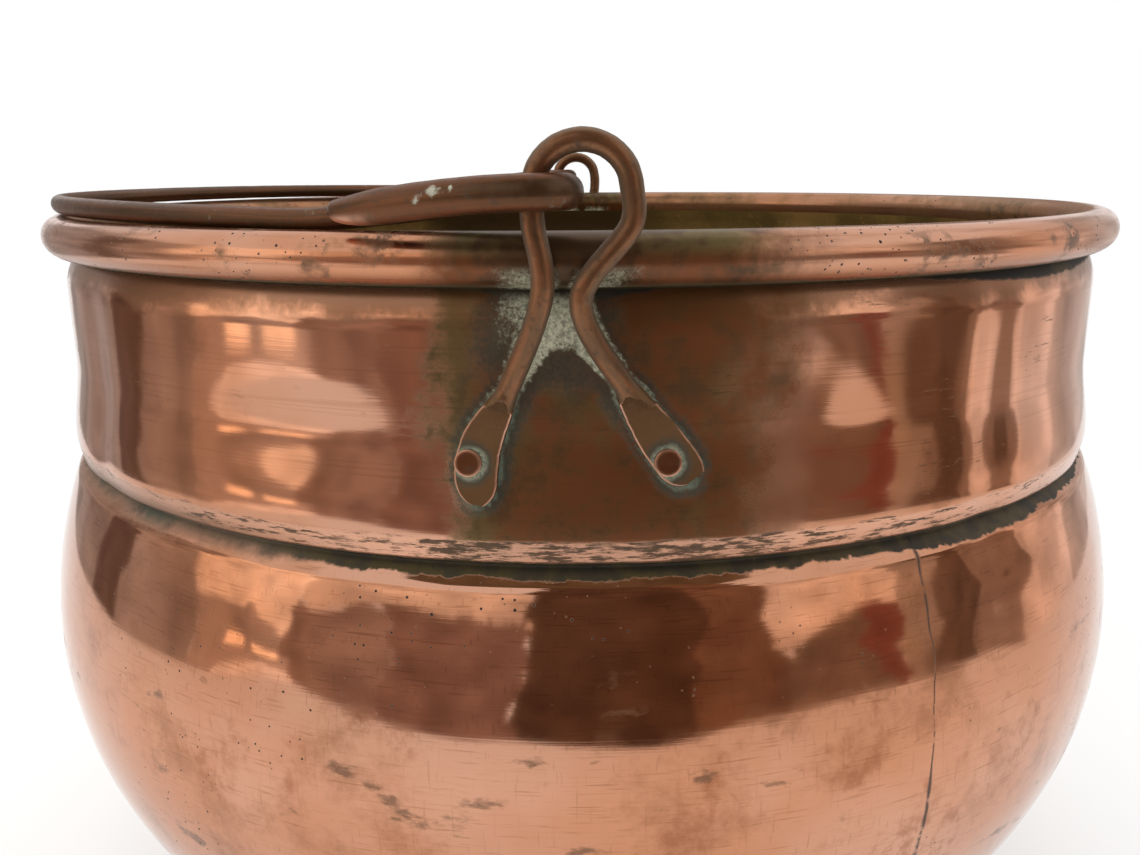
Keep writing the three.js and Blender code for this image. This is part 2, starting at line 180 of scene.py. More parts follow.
# Chalky spots on the hook: distance from its tip, place on the unit circle and reach
CHALK_SPOTS = [(0.0255, 0.92, 0.40, 0.0024), (0.0285, 0.92, 0.40, 0.0013), (0.0222, 1.0, 0.1, 0.0015)]

# Camera
IMAGE_WIDTH = 1140
FOCAL_PIXELS = 1041
SENSOR_WIDTH = 36
CAMERA_PLACE = Vector((-0.0017, -0.341, RIM_HEIGHT + 0.0161))
CAMERA_PITCH = math.radians(-14)
CAMERA_YAW = math.radians(0.23)
CAMERA_ROLL = math.radians(-0.45)


def smoothstep(value, low, high):
    part = min(1, max(0, (value - low) / (high - low)))
    return part * part * (3 - 2 * part)


def lerp(first, last, part):
    return first + (last - first) * part


def shares(first, last, steps):
    return [lerp(first, last, step / steps) for step in range(steps + 1)]


def eased(values, low, high):
    """0 at low and 1 at high, eased, for whole arrays."""
    part = np.clip((values - low) / (high - low), 0, 1)
    return part * part * (3 - 2 * part)


# Modelling tools

ROD_CREASE = math.radians(50)
RIVET_CREASE = math.radians(35)


def grid(name, columns, rows, size):
    """A new flat grid, selected by itself."""
    bpy.ops.object.select_all(action="DESELECT")
    bpy.ops.mesh.primitive_grid_add(x_subdivisions=columns, y_subdivisions=rows, size=size)
    piece = bpy.context.object
    piece.name = name
    return piece


def lathe(name, outline, steps):
    """A closed outline of (radius, height) points, spun about the Z axis."""
    bpy.ops.object.select_all(action="DESELECT")
    bpy.ops.mesh.primitive_plane_add(size=SHEET, location=(outline[0][0], 0, outline[0][1]))
    piece = bpy.context.object
    piece.name = name
    bpy.ops.object.transform_apply(location=True)
    bpy.ops.object.mode_set(mode="EDIT")
    bpy.ops.mesh.select_mode(type="VERT")
    bpy.ops.mesh.merge(type="CENTER")
    for before, after in zip(outline, outline[1:]):
        step = (after[0] - before[0], 0, after[1] - before[1])
        bpy.ops.mesh.extrude_vertices_move(TRANSFORM_OT_translate={"value": step})
    bpy.ops.mesh.select_all(action="SELECT")
    bpy.ops.mesh.spin(steps=steps, angle=2 * math.pi, center=(0, 0, 0), axis=(0, 0, 1))
    bpy.ops.mesh.select_all(action="SELECT")
    bpy.ops.mesh.remove_doubles(threshold=1e-6)
    bpy.ops.mesh.normals_make_consistent(inside=False)
    bpy.ops.object.mode_set(mode="OBJECT")
    bpy.ops.object.shade_smooth()
    return piece


def forged(name, line, sides, place, wear):
    """A closed rod rolled from a grid, with its rings along a line.

    place and wear take (ring, across, out), where across and out are a point of the unit circle. They give
    that point of the ring and how worn it is. Each point keeps its place on the rod, for finishes along it.
    """
    rings = len(line)
    piece = grid(name, sides, rings - 1, 2)
    bpy.ops.object.mode_set(mode="EDIT")
    shape = bmesh.from_edit_mesh(piece.data)
    worn = shape.verts.layers.float.new("worn")
    rod_place = shape.verts.layers.float_vector.new("rod_place")
    for vertex in shape.verts:
        ring = round((vertex.co.y + 1) / 2 * (rings - 1))
        turn = round((vertex.co.x + 1) / 2 * sides) % sides / sides * 2 * math.pi
        across, out = math.cos(turn), math.sin(turn)
        vertex[worn] = wear(ring, across, out)
        vertex[rod_place] = (across, out, line[ring][2])
        vertex.co = place(ring, across, out)
    bmesh.update_edit_mesh(piece.data)
    bpy.ops.mesh.select_all(action="SELECT")
    bpy.ops.mesh.remove_doubles(threshold=1e-7)
    bpy.ops.mesh.select_all(action="DESELECT")
    bpy.ops.mesh.select_mode(type="EDGE")
    bpy.ops.mesh.select_non_manifold()
    bpy.ops.mesh.fill_holes(sides=0)
    bpy.ops.mesh.select_all(action="SELECT")
    bpy.ops.mesh.normals_make_consistent(inside=False)
    bpy.ops.object.mode_set(mode="OBJECT")
    bpy.ops.object.shade_smooth_by_angle(angle=ROD_CREASE)
    return piece


def paint(piece, name, values):
    """Keeps one number for each point of a piece, for its finish to read."""
    layer = piece.data.attributes.new(name, "FLOAT", "POINT")
    layer.data.foreach_set("value", values)


def smooth_line(points, spacing):
    """A curve eased through the points and cut into even steps of (middle, direction, distance)."""
    ends = [2 * points[0] - points[1], *points, 2 * points[-1] - points[-2]]
    dense = []
    for a, b, c, d in zip(ends, ends[1:], ends[2:], ends[3:]):
        before, here, after = (math.sqrt((q - p).length) for p, q in ((a, b), (b, c), (c, d)))
        leave = ((b - a) / before - (c - a) / (before + here) + (c - b) / here) * here
        arrive = ((c - b) / here - (d - b) / (here + after) + (d - c) / after) * here
        for t in shares(0, 1, 60)[:-1]:
            dense.append(
                b * (2 * t**3 - 3 * t**2 + 1) + leave * (t**3 - 2 * t**2 + t)
                + c * (3 * t**2 - 2 * t**3) + arrive * (t**3 - t**2)
            )
    dense.append(points[-1])
    lengths = [0]
    for before, after in zip(dense, dense[1:]):
        lengths.append(lengths[-1] + (after - before).length)
    count = round(lengths[-1] / spacing)
    line, at = [], 0
    for distance in shares(0, lengths[-1], count):
        while at < len(dense) - 2 and lengths[at + 1] < distance:
            at += 1
        part = (distance - lengths[at]) / (lengths[at + 1] - lengths[at])
        along = (dense[at + 1] - dense[at]).normalized()
        line.append((dense[at].lerp(dense[at + 1], part), along, distance))
    return line


def filleted(corners, steps=4):
    """A line of (radius, height, fillet) corners with its fillets rounded."""
    outline = []
    for i, (r, z, fillet) in enumerate(corners):
        here = Vector((r, z))
        if fillet == 0 or i in (0, len(corners) - 1):
            outline.append((r, z))
            continue
        back = Vector(corners[i - 1][:2]) - here
        on = Vector(corners[i + 1][:2]) - here
        reach = min(fillet, 0.45 * back.length, 0.45 * on.length)
        start = here + back.normalized() * reach
        end = here + on.normalized() * reach
        for t in shares(0, 1, steps):
            outline.append(tuple(start * (1 - t) ** 2 + here * 2 * t * (1 - t) + end * t**2))
    return outline


def offset(corners, distance, fillet_change):
    """The corners moved sideways, to the left of the way that they run."""
    moved = []
    last = len(corners) - 1
    for i, (r, z, fillet) in enumerate(corners):
        here = Vector((r, z))
        into = here - Vector(corners[max(0, i - 1)][:2])
        out_of = Vector(corners[min(last, i + 1)][:2]) - here
        into = (into if i > 0 else out_of).normalized()
        out_of = (out_of if i < last else into).normalized()
        along = (into + out_of).normalized()
        turn = into.x * out_of.y - into.y * out_of.x
        side = Vector((-along.y, along.x)) * (distance / along.dot(into))
        rounding = max(LEAST_FILLET, fillet - math.copysign(fillet_change, turn)) if fillet else 0
        moved.append((r + side.x, z + side.y, rounding))
    return moved


# Vessel


def neck_radius(drop):
    return NECK_RADIUS + NECK_FLARE * smoothstep(drop, FLARE_DROP, BAND_DROP)


def lower_belly(angle, inset=0.0):
    """A point of the lower belly, from its widest place (0) to the flat of the base (-90 degrees)."""
    reach = BELLY_RADIUS - FOOT_RADIUS
    normal = Vector((math.cos(angle) / reach, math.sin(angle) / BELLY_HEIGHT)).normalized()
    place = Vector((FOOT_RADIUS + reach * math.cos(angle), BELLY_HEIGHT * (1 + math.sin(angle))))
    return place - normal * inset


SEAM_ANGLE = math.asin(SEAM_HEIGHT / BELLY_HEIGHT - 1)
SEAM_TURN = 1 / math.hypot(
    (BELLY_RADIUS - FOOT_RADIUS) * math.sin(SEAM_ANGLE), BELLY_HEIGHT * math.cos(SEAM_ANGLE)
)


def wall_corners(detail):
    """The outside of the wall, from its lower edge to the end of the rolled edge under the wire."""
    corners = [(*lower_belly(angle), 0) for angle in shares(SEAM_ANGLE, 0, 15 * detail)[:-1]]
    groove_height = RIM_HEIGHT - BAND_DROP - BAND_HEIGHT
    shoulder = Vector((BAND_RADIUS + SHOULDER_STEP, groove_height - SHOULDER_RISE))
    for t in shares(0, 1, 10 * detail)[:-1]:
        radius = lerp(BELLY_RADIUS, shoulder.x, t * t)
        corners.append((radius, lerp(BELLY_HEIGHT, shoulder.y, t), 0))
    corners.append((*shoulder, SHOULDER_FILLET))
    corners.append((BAND_RADIUS - GROOVE_DEPTH, groove_height, GROOVE_FILLET))
    corners.append((BAND_RADIUS - BAND_DRAW, RIM_HEIGHT - BAND_DROP - BAND_FACE, GROOVE_FILLET))
    corners.append((BAND_RADIUS, RIM_HEIGHT - BAND_DROP, BAND_FILLET))
    for drop in shares(BAND_DROP, ROLL_JOG_DROP, 20 * detail)[1:]:
        corners.append((neck_radius(drop), RIM_HEIGHT - drop, 0))
    wire_side = ROLL_MIDDLE - ROLL_RADIUS + SHEET
    for t in shares(0, 1, 4 * detail)[1:-1]:
        radius = lerp(NECK_RADIUS, wire_side, smoothstep(t, 0, 1))
        height = RIM_HEIGHT - ROLL_JOG_DROP * (1 - t) ** 1.2
        corners.append((radius, height, 0))
    for angle in shares(math.pi, -ROLL_CLOSE, 24):
        reach = ROLL_RADIUS - SHEET
        corners.append((ROLL_MIDDLE + reach * math.cos(angle), RIM_HEIGHT + reach * math.sin(angle), 0))
    return corners


# Hammer waves in the wall: depth and closeness
WAVES = [(0.00045, 11), (0.00022, 34), (0.00004, 80)]
WAVE_LIMIT = 0.0002

# Dents, and bulges of negative depth: azimuth in degrees, height, half width, half height and depth
DENTS = [
    (-50, 0.176, 0.007, 0.030, 0.0008),
    (-44, 0.168, 0.009, 0.020, -0.0004),
    (-24, 0.171, 0.020, 0.009, 0.0008),
    (-20, 0.186, 0.016, 0.010, -0.0003),
    (17, 0.181, 0.006, 0.009, 0.0007),
    (20, 0.169, 0.010, 0.012, 0.0007),
    (31, 0.178, 0.006, 0.040, -0.0005),
    (36, 0.170, 0.006, 0.040, 0.0006),
    (43, 0.176, 0.010, 0.022, -0.0005),
    (-38, 0.120, 0.016, 0.020, 0.0007),
    (-24, 0.132, 0.012, 0.010, -0.0005),
    (38, 0.122, 0.014, 0.016, 0.0006),
    (52, 0.130, 0.010, 0.026, -0.0004),
    (75, 0.172, 0.016, 0.020, 0.0009),
    (110, 0.120, 0.022, 0.018, 0.0011),
    (138, 0.176, 0.012, 0.024, 0.0007),
    (-88, 0.165, 0.012, 0.026, 0.0008),
    (-116, 0.124, 0.020, 0.022, 0.0010),
    (-142, 0.178, 0.018, 0.012, 0.0008),
    (165, 0.112, 0.020, 0.020, 0.0009),
    (-80, 0.088, 0.018, 0.022, 0.0008),
]


def gathered(items, name):
    """One vector of each of a mesh's points or faces, in rows."""
    rows = np.empty(3 * len(items), np.float32)
    items.foreach_get(name, rows)
    return rows.reshape(-1, 3)


def points_of(piece):
    return gathered(piece.data.vertices, "co")


def crowd(piece):
    """Draws a spun piece's points towards the front and back, where the ears' stains need them close."""
    points = points_of(piece)
    x, y, _ = points.T
    radius = np.hypot(x, y)
    azimuth = np.arctan2(x, -y)
    azimuth -= EAR_CROWDING / 2 * np.sin(2 * azimuth)
    points[:, 0] = radius * np.sin(azimuth)
    points[:, 1] = -radius * np.cos(azimuth)
    piece.data.vertices.foreach_set("co", points.ravel())


def planish(piece):
    """Moves the wall's points in and out, as hammer work and knocks leave them."""
    points = points_of(piece)
    x, y, z = points.T
    radius = np.hypot(x, y)
    azimuth = np.arctan2(x, -y)
    rolled_flat = np.column_stack((x / radius * NECK_RADIUS, y / radius * NECK_RADIUS, z))
    wave = np.array([
        sum(depth * noise.noise(closeness * spot) for depth, closeness in WAVES)
        for spot in map(Vector, rolled_flat)
    ])
    for middle, height, half_width, half_height, depth in DENTS:
        apart = azimuth - math.radians(middle)
        apart = (apart + math.pi) % (2 * math.pi) - math.pi
        across = apart * NECK_RADIUS / half_width
        upward = (z - height) / half_height
        wave -= depth * np.exp(-(across**2) - upward**2)
    lap = np.clip((z - SEAM_HEIGHT - SEAM_LAP) / (3 * SEAM_LAP), 0, 1)
    roll = np.clip((z - RIM_HEIGHT + ROLL_JOG_DROP) / (ROLL_JOG_DROP - ROLL_RADIUS), 0, 1)
    wave = np.minimum(wave, WAVE_LIMIT) * lap * (1 - 0.8 * roll)
    points[:, 0] += x / radius * wave
    points[:, 1] += y / radius * wave
    piece.data.vertices.foreach_set("co", points.ravel())


def flat_ear():
    """The ear's middle line laid flat on the neck: its way round from the front, drop and half width."""
    laid = [
        (
            math.atan2(middle.x, -middle.y) * NECK_RADIUS,
            RIM_HEIGHT - middle.z,
            min(ear_half_width(distance, 1), ear_half_width(distance, -1)),
        )
        for middle, _, distance in ear_line()
    ]
    return np.array(laid)


def ear_stains(points):
    """How much powder and soot the nearer ear has left at each point of the wall. Reaches are in metres."""
    x, y, z = points.T
    arc = np.arctan2(np.where(y < 0, x, -x), np.abs(y)) * NECK_RADIUS
    drop = RIM_HEIGHT - z
    laid = flat_ear()
    gap = np.full(len(points), 0.05)
    for ear_place, ear_drop, half_width in laid:
        gap = np.minimum(gap, np.hypot(arc - ear_place, drop - ear_drop) - half_width)
    half = len(laid) // 2
    left = np.interp(drop, laid[half::-1, 1], laid[half::-1, 0])
    right = np.interp(drop, laid[half:, 1], laid[half:, 0])
    between = (arc > left) & (arc < right)
    down = drop - 0.007 * eased(gap, 0.0025, 0)
    halo = 0.75 * eased(gap, 0.0014, 0.0001)
    powder = [
        halo,
        between * eased(down, 0.0190, 0.0140) * eased(drop, 0.0055, 0.0075),
        0.85 * (arc < left) * eased(gap, 0.012, 0.001) * eased(drop, 0.020, 0.007),
        0.75 * (arc > right) * eased(gap, 0.009, 0.001) * eased(drop, 0.0060, 0.0050),
    ]
    soot = [
        0.8 * eased(gap, 0.0036, 0.0006),
        between * eased(np.abs(down - 0.0195), 0.0080, 0.0010),
        between * eased(gap, 0.0055, 0.0010) * eased(drop, 0.040, 0.024),
        (arc < left) * eased(gap, 0.013, 0.003) * eased(drop, 0.028, 0.016),
        0.8 * (arc > right) * eased(gap, 0.010, 0.002) * eased(drop, 0.018, 0.009),
    ]
    return np.max(powder, axis=0), np.max(soot, axis=0)


def zones(piece):
    """Gives the sheet's faces their finishes: 0 neck, 1 belly, 2 roll, 3 inside."""
    faces = piece.data.polygons
    middles = gathered(faces, "center")
    normals = gathered(faces, "normal")
    x, y, z = middles.T
    radius = np.hypot(x, y)
    outwards = (normals * (middles - (0, 0, BELLY_HEIGHT))).sum(axis=1) > 0
    on_roll = np.hypot(radius - ROLL_MIDDLE, z - RIM_HEIGHT) < ROLL_RADIUS + ROLL_MARGIN
    zone = np.where(z > RIM_HEIGHT - BAND_DROP - BAND_HEIGHT, 0, 1)
    zone = np.where(outwards, zone, 3)
    zone = np.where(on_roll, 2, zone)
    faces.foreach_set("material_index", zone.astype(np.int32))
    return piece


def body_wall():
    corners = wall_corners(2)
    inside = offset(wall_corners(1), SHEET, SHEET)
    outline = filleted(corners) + list(reversed(filleted(inside)))
    outline.append(outline[0])
    wall = zones(lathe("cauldron_wall", outline, WALL_STEPS))
    crowd(wall)
    powder, soot = ear_stains(points_of(wall))
    paint(wall, "powder", powder)
    paint(wall, "soot", soot)
    planish(wall)
    return wall


def base_pan():
    lap = SHEET + SEAT_GAP
    joggle = lap * SEAM_TURN
    flush = SEAM_ANGLE - SEAT_GAP * SEAM_TURN
    top = SEAM_ANGLE + SEAM_LAP * SEAM_TURN
    foot = -math.pi / 2
    outline = [(0, 0)]
    outline += [tuple(lower_belly(angle)) for angle in shares(foot, flush, 24)]
    outline += [tuple(lower_belly(angle, lap)) for angle in shares(flush, top, 4)]
    outline += [tuple(lower_belly(angle, lap + SHEET)) for angle in shares(top, flush + joggle, 4)]
    outline += [tuple(lower_belly(angle, SHEET)) for angle in shares(flush - joggle, foot, 24)]
    outline += [(0, SHEET)]
    return zones(lathe("cauldron_base", outline, BASE_STEPS))


def rim_wire():
    outline = [
        (ROLL_MIDDLE + WIRE_RADIUS * math.cos(angle), RIM_HEIGHT + WIRE_RADIUS * math.sin(angle))
        for angle in shares(0, 2 * math.pi, 14)
    ]
    return lathe("rolled_in_wire", outline, WIRE_STEPS)


# Ears, made for the front


def neck_normal(place):
    drop = RIM_HEIGHT - place.z
    step = 0.0005
    widening = (neck_radius(drop + step) - neck_radius(drop - step)) / (2 * step)
    outward = Vector((place.x, place.y, 0)).normalized()
    return (outward + Vector((0, 0, widening))).normalized()


def front_point(x, radius, drop):
    return Vector((x, -math.sqrt(radius * radius - x * x), RIM_HEIGHT - drop))


def leg_points(leg):
    """A leg's middle line, from the tip of its paddle up to its waist."""

    def point(amount, drop, half_thickness):
        stand = neck_radius(drop) + SEAT_GAP + half_thickness
        return front_point(EAR_LEAN + leg["side"] * amount, stand, drop)

    middle_drop = (PADDLE_DROP + leg["tip_drop"]) / 2
    middle = (leg["splay"] + leg["tip_offset"]) / 2 + leg["bow"]
    return [
        point(leg["tip_offset"], leg["tip_drop"], PADDLE_HALF_THICKNESS),
        point(middle, middle_drop, PADDLE_HALF_THICKNESS),
        point(leg["splay"], PADDLE_DROP, EAR_ROD_RADIUS),
        front_point(EAR_LEAN + leg["side"] * EAR_WAIST / 2, EAR_STAND, leg["waist_drop"]),
    ]


def ear_line():
    def loop_point(x, rise):
        return Vector((x, -EAR_STAND, HINGE_HEIGHT + rise))

    crown = [
        loop_point(EAR_LOOP_RADIUS * math.cos(turn), EAR_LOOP_RADIUS * math.sin(turn))
        for turn in shares(math.pi, 0, 6)
    ]
    left_side = loop_point(-EAR_LOOP_RADIUS, -LOOP_SIDE)
    right_side = loop_point(EAR_LOOP_RADIUS, -LOOP_SIDE)
    points = [*leg_points(LEFT_LEG), left_side, *crown, right_side, *reversed(leg_points(RIGHT_LEG))]
    return smooth_line(points, EAR_LINE_STEP)


# Where the side, the edge and the strip beside it end on a flat bar's section
FLAT_SIDE_END = 1 / 6
FLAT_CORNER_END = 1 / 2
FLAT_HOLD_END = 7 / 12


def rounded_end(distance, length, share=0.0):
    """1 along a rod, falling to a share at its tip over a length."""
    left = max(0, 1 - distance / length)
    return math.sqrt(1 - (1 - share * share) * left * left)


def ear_half_width(distance, side):
    """Half the ear's width at a distance along its line, on its inner side (1) or its outer side (-1)."""
    leg = LEFT_LEG if distance < EAR_LENGTH / 2 else RIGHT_LEG
    from_tip = min(distance, EAR_LENGTH - distance)
    narrowed = min(1, max(0, (from_tip - PADDLE_FULL) / (PADDLE_LENGTH - PADDLE_FULL)))
    half_width = lerp(PADDLE_HALF_WIDTH, EAR_ROD_RADIUS, narrowed**PADDLE_EASE)
    hand = "inner" if side > 0 else "outer"
    return half_width * rounded_end(from_tip, leg[f"{hand}_round"], leg[f"{hand}_end"])


def bar_point(share, half_width, half_thickness):
    """A point of a quarter of a flat bar's section, from its side (0) round to its face's middle (1)."""
    edge = min(PADDLE_EDGE, 0.5 * half_width)
    flat_width = half_width - edge
    flat_side = half_thickness - edge
    hold = max(0.0, flat_width - EDGE_HOLD)
    if share < FLAT_SIDE_END:
        return half_width, flat_side * share / FLAT_SIDE_END
    if share < FLAT_CORNER_END:
        angle = (share - FLAT_SIDE_END) / (FLAT_CORNER_END - FLAT_SIDE_END) * math.pi / 2
        return flat_width + edge * math.cos(angle), flat_side + edge * math.sin(angle)
    if share < FLAT_HOLD_END:
        part = (share - FLAT_CORNER_END) / (FLAT_HOLD_END - FLAT_CORNER_END)
        return lerp(flat_width, hold, part), half_thickness
    part = (share - FLAT_HOLD_END) / (1 - FLAT_HOLD_END)
    return lerp(hold, 0, part), half_thickness


EAR_LENGTH = ear_line()[-1][2]


def ear(name, turn):
    line = ear_line()

    def section(ring, across, out):
        """A point's place from side to face, distance from the tip, how flat it is, and its shoulder."""
        leg = LEFT_LEG if line[ring][2] < EAR_LENGTH / 2 else RIGHT_LEG
        share = math.atan2(abs(out), abs(across)) / (math.pi / 2)
        from_tip = min(line[ring][2], EAR_LENGTH - line[ring][2])
        bow = min(1, (1 - share) / (1 - FLAT_CORNER_END))
        slant = leg["slant"] * (1 - math.copysign(bow, across)) / 2
        shoulder = PADDLE_LENGTH - SHOULDER_CRESCENT * bow * bow - slant
        flat = 1 - smoothstep(from_tip, shoulder - SHOULDER_STEP_LENGTH, shoulder)
        return share, from_tip, flat, shoulder

    def place(ring, across, out):
        middle, along, distance = line[ring]
        share, _, flat, _ = section(ring, across, out)
        outward = neck_normal(middle)
        sideways = along.cross(outward).normalized()
        outward = sideways.cross(along)
        stand = math.hypot(middle.x, middle.y) - neck_radius(RIM_HEIGHT - middle.z) - SEAT_GAP
        stand = min(EAR_ROD_RADIUS, max(PADDLE_HALF_THICKNESS, stand))
        uneven = 1 - sum(part * abs(noise.noise(middle * closeness)) for part, closeness in EAR_UNEVENNESS)
        width, thickness = bar_point(share, ear_half_width(distance, across), PADDLE_HALF_THICKNESS)
        round_width = max(EAR_ROD_RADIUS, ear_half_width(distance, across)) * abs(across)
        width = lerp(round_width, width, flat) * uneven
        rise = lerp(EAR_ROD_RADIUS * abs(out), thickness, flat)
        bulk = lerp(EAR_ROD_RADIUS, PADDLE_HALF_THICKNESS, flat)
        height = bulk + math.copysign(rise, out) - stand
        return middle + sideways * math.copysign(width, across) + outward * height

    def wear(ring, across, out):
        share, from_tip, flat, shoulder = section(ring, across, out)
        if out < 0:
            return 0
        on_edge = flat * (FLAT_SIDE_END < share < FLAT_HOLD_END)
        on_shoulder = 1 - min(1, abs(from_tip - shoulder + SHOULDER_STEP_LENGTH / 2) / WORN_REACH)
        return max(on_edge, on_shoulder)

    piece = forged(name, line, EAR_SIDES, place, wear)
    distance = gathered(piece.data.attributes["rod_place"].data, "vector")[:, 2]
    from_tip = np.minimum(distance, EAR_LENGTH - distance)
    paint(piece, "flattened", eased(from_tip, PADDLE_LENGTH, PADDLE_LENGTH - SHOULDER_CRESCENT))
    piece.data.transform(Matrix.Rotation(turn, 4, "Z"))
    return piece


def rivet_seat(node):
    """Where a rivet meets the neck, as seen on the front ear, and the turn that takes it to its own ear."""
    low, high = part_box(node)
    middle = (low + high) / 2
    turn = 0 if middle.y < 0 else math.pi
    seat = Matrix.Rotation(-turn, 4, "Z") @ middle
    return front_point(seat.x, neck_radius(RIM_HEIGHT - seat.z), RIM_HEIGHT - seat.z), turn


def rivet(name, node):
    """A rivet along its neck normal, with a low flat head on the paddle and a dome inside."""
    place, turn = rivet_seat(node)
    head_seat = 2 * SEAT_GAP + 2 * PADDLE_HALF_THICKNESS
    head_top = head_seat + RIVET_HEAD_HEIGHT
    dome_seat = -SHEET - SEAT_GAP - FACET_SAG
    corners = [
        (RIVET_DOME * math.cos(a), dome_seat + RIVET_DOME_HEIGHT * math.sin(a), 0)
        for a in shares(-math.pi / 2, 0, 8)
    ]
    corners += [
        (RIVET_SHANK, dome_seat, 0),
        (RIVET_SHANK, head_seat, 0),
        (RIVET_HEAD, head_seat, 0),
        (RIVET_HEAD, head_top - RIVET_BEVEL_DROP, RIVET_EDGE),
        (RIVET_HEAD - RIVET_BEVEL, head_top, RIVET_EDGE),
        (RIVET_HEAD - RIVET_RING, head_top, 0),
        (0, head_top, 0),
    ]
    piece = lathe(name, filleted(corners), RIVET_STEPS)
    x, y, z = points_of(piece).T
    edge = np.clip(1 - np.abs(np.hypot(x, y) - RIVET_HEAD + RIVET_BEVEL / 2) / WORN_REACH, 0, 1)
    paint(piece, "worn", edge * (z > head_seat))
    bpy.ops.object.shade_smooth_by_angle(angle=RIVET_CREASE)
    lean = Vector((0, 0, 1)).rotation_difference(neck_normal(place)).to_matrix().to_4x4()
    piece.data.transform(Matrix.Rotation(turn, 4, "Z") @ Matrix.Translation(place) @ lean)
    return piece


# Bail, made in the folded position


def bail_half():
    """The front half of the bail's middle line, from the hook's tip to the bail's middle."""
    tip_y = math.sqrt((RIM_RADIUS - HOOK_TIP_INSET) ** 2 - HOOK_REACH**2)
    tip_z = RIM_TOP + REST_GAP + HOOK_TIP_RADIUS
    near_y = EAR_STAND + HOOK_BEND
    points = []
    for part in shares(1, 0, 5)[:-1]:
        curled = part**HOOK_CURL
        x = lerp(EAR_LOOP_RADIUS, HOOK_REACH, part)
        points.append(Vector((-x, -lerp(near_y, tip_y, curled), lerp(HINGE_HEIGHT, tip_z, curled))))
    for turn in shares(math.pi / 2, -math.pi / 2, 5):
        x = -EAR_LOOP_RADIUS + HOOK_BEND * math.cos(turn)
        points.append(Vector((x, -EAR_STAND - HOOK_BEND * math.sin(turn), HINGE_HEIGHT)))
    perch_distance = ROLL_RADIUS + REST_GAP + BAIL_ROD_RADIUS
    for angle in shares(BAIL_LAY, 0, 7):
        perch = BAIL_PERCH * smoothstep(angle, BAIL_LEVEL, BAIL_LAY)
        radius = ROLL_MIDDLE - perch_distance * math.sin(perch)
        height = RIM_HEIGHT + perch_distance * math.cos(perch)
        points.append(Vector((-radius * math.cos(angle), -radius * math.sin(angle), height)))
    return points


def bail():
    front = bail_half()
    back = [Vector((p.x, -p.y, p.z)) for p in front[:-1]]
    line = smooth_line(front + back[::-1], BAIL_LINE_STEP)
    length = line[-1][2]
    hook_length = HOOK_REACH - EAR_LOOP_RADIUS + math.pi * HOOK_BEND

    def place(ring, across, out):
        middle, along, distance = line[ring]
        from_tip = min(distance, length - distance)
        sideways = along.cross(Vector((0, 0, 1))).normalized()
        upward = sideways.cross(along)
        stock = lerp(HOOK_TIP_RADIUS, HOOK_ROD_RADIUS, smoothstep(from_tip, 0, HOOK_TIP_LENGTH))
        thinned = smoothstep(from_tip, hook_length, hook_length + BAIL_TAPER_LENGTH)
        radius = lerp(stock, BAIL_ROD_RADIUS, thinned)
        radius *= 1 - BAIL_UNEVENNESS * abs(noise.noise(middle * 160))
        cut = HOOK_CUT_LENGTH if out < 0 else HOOK_TIP_ROUND
        width = radius * across * max(HOOK_TIP_SHARE, rounded_end(from_tip, HOOK_SIDE_ROUND))
        rise = radius * out * max(HOOK_TIP_SHARE, rounded_end(from_tip, cut))
        lift = HOOK_TIP_LIFT * radius * (1 - rounded_end(from_tip, HOOK_TIP_ROUND))
        return middle + sideways * width + upward * (rise + lift)

    def wear(ring, _, out):
        from_tip = min(line[ring][2], length - line[ring][2])
        beyond_tip = smoothstep(from_tip, 0.5 * HOOK_CUT_LENGTH, HOOK_TIP_LENGTH)
        return smoothstep(-out, 0.1, 0.7) * (1 - beyond_tip)

    piece = forged("bail_handle", line, BAIL_SIDES, place, wear)
    points = points_of(piece)
    chalk = np.zeros(len(points))
    for distance, across, out, reach in CHALK_SPOTS:
        spot = np.array(place(round(distance / length * (len(line) - 1)), across, out))
        chalk = np.maximum(chalk, 1 - np.linalg.norm(points - spot, axis=1) / reach)
    paint(piece, "chalk", chalk)
    return piece


# Materials


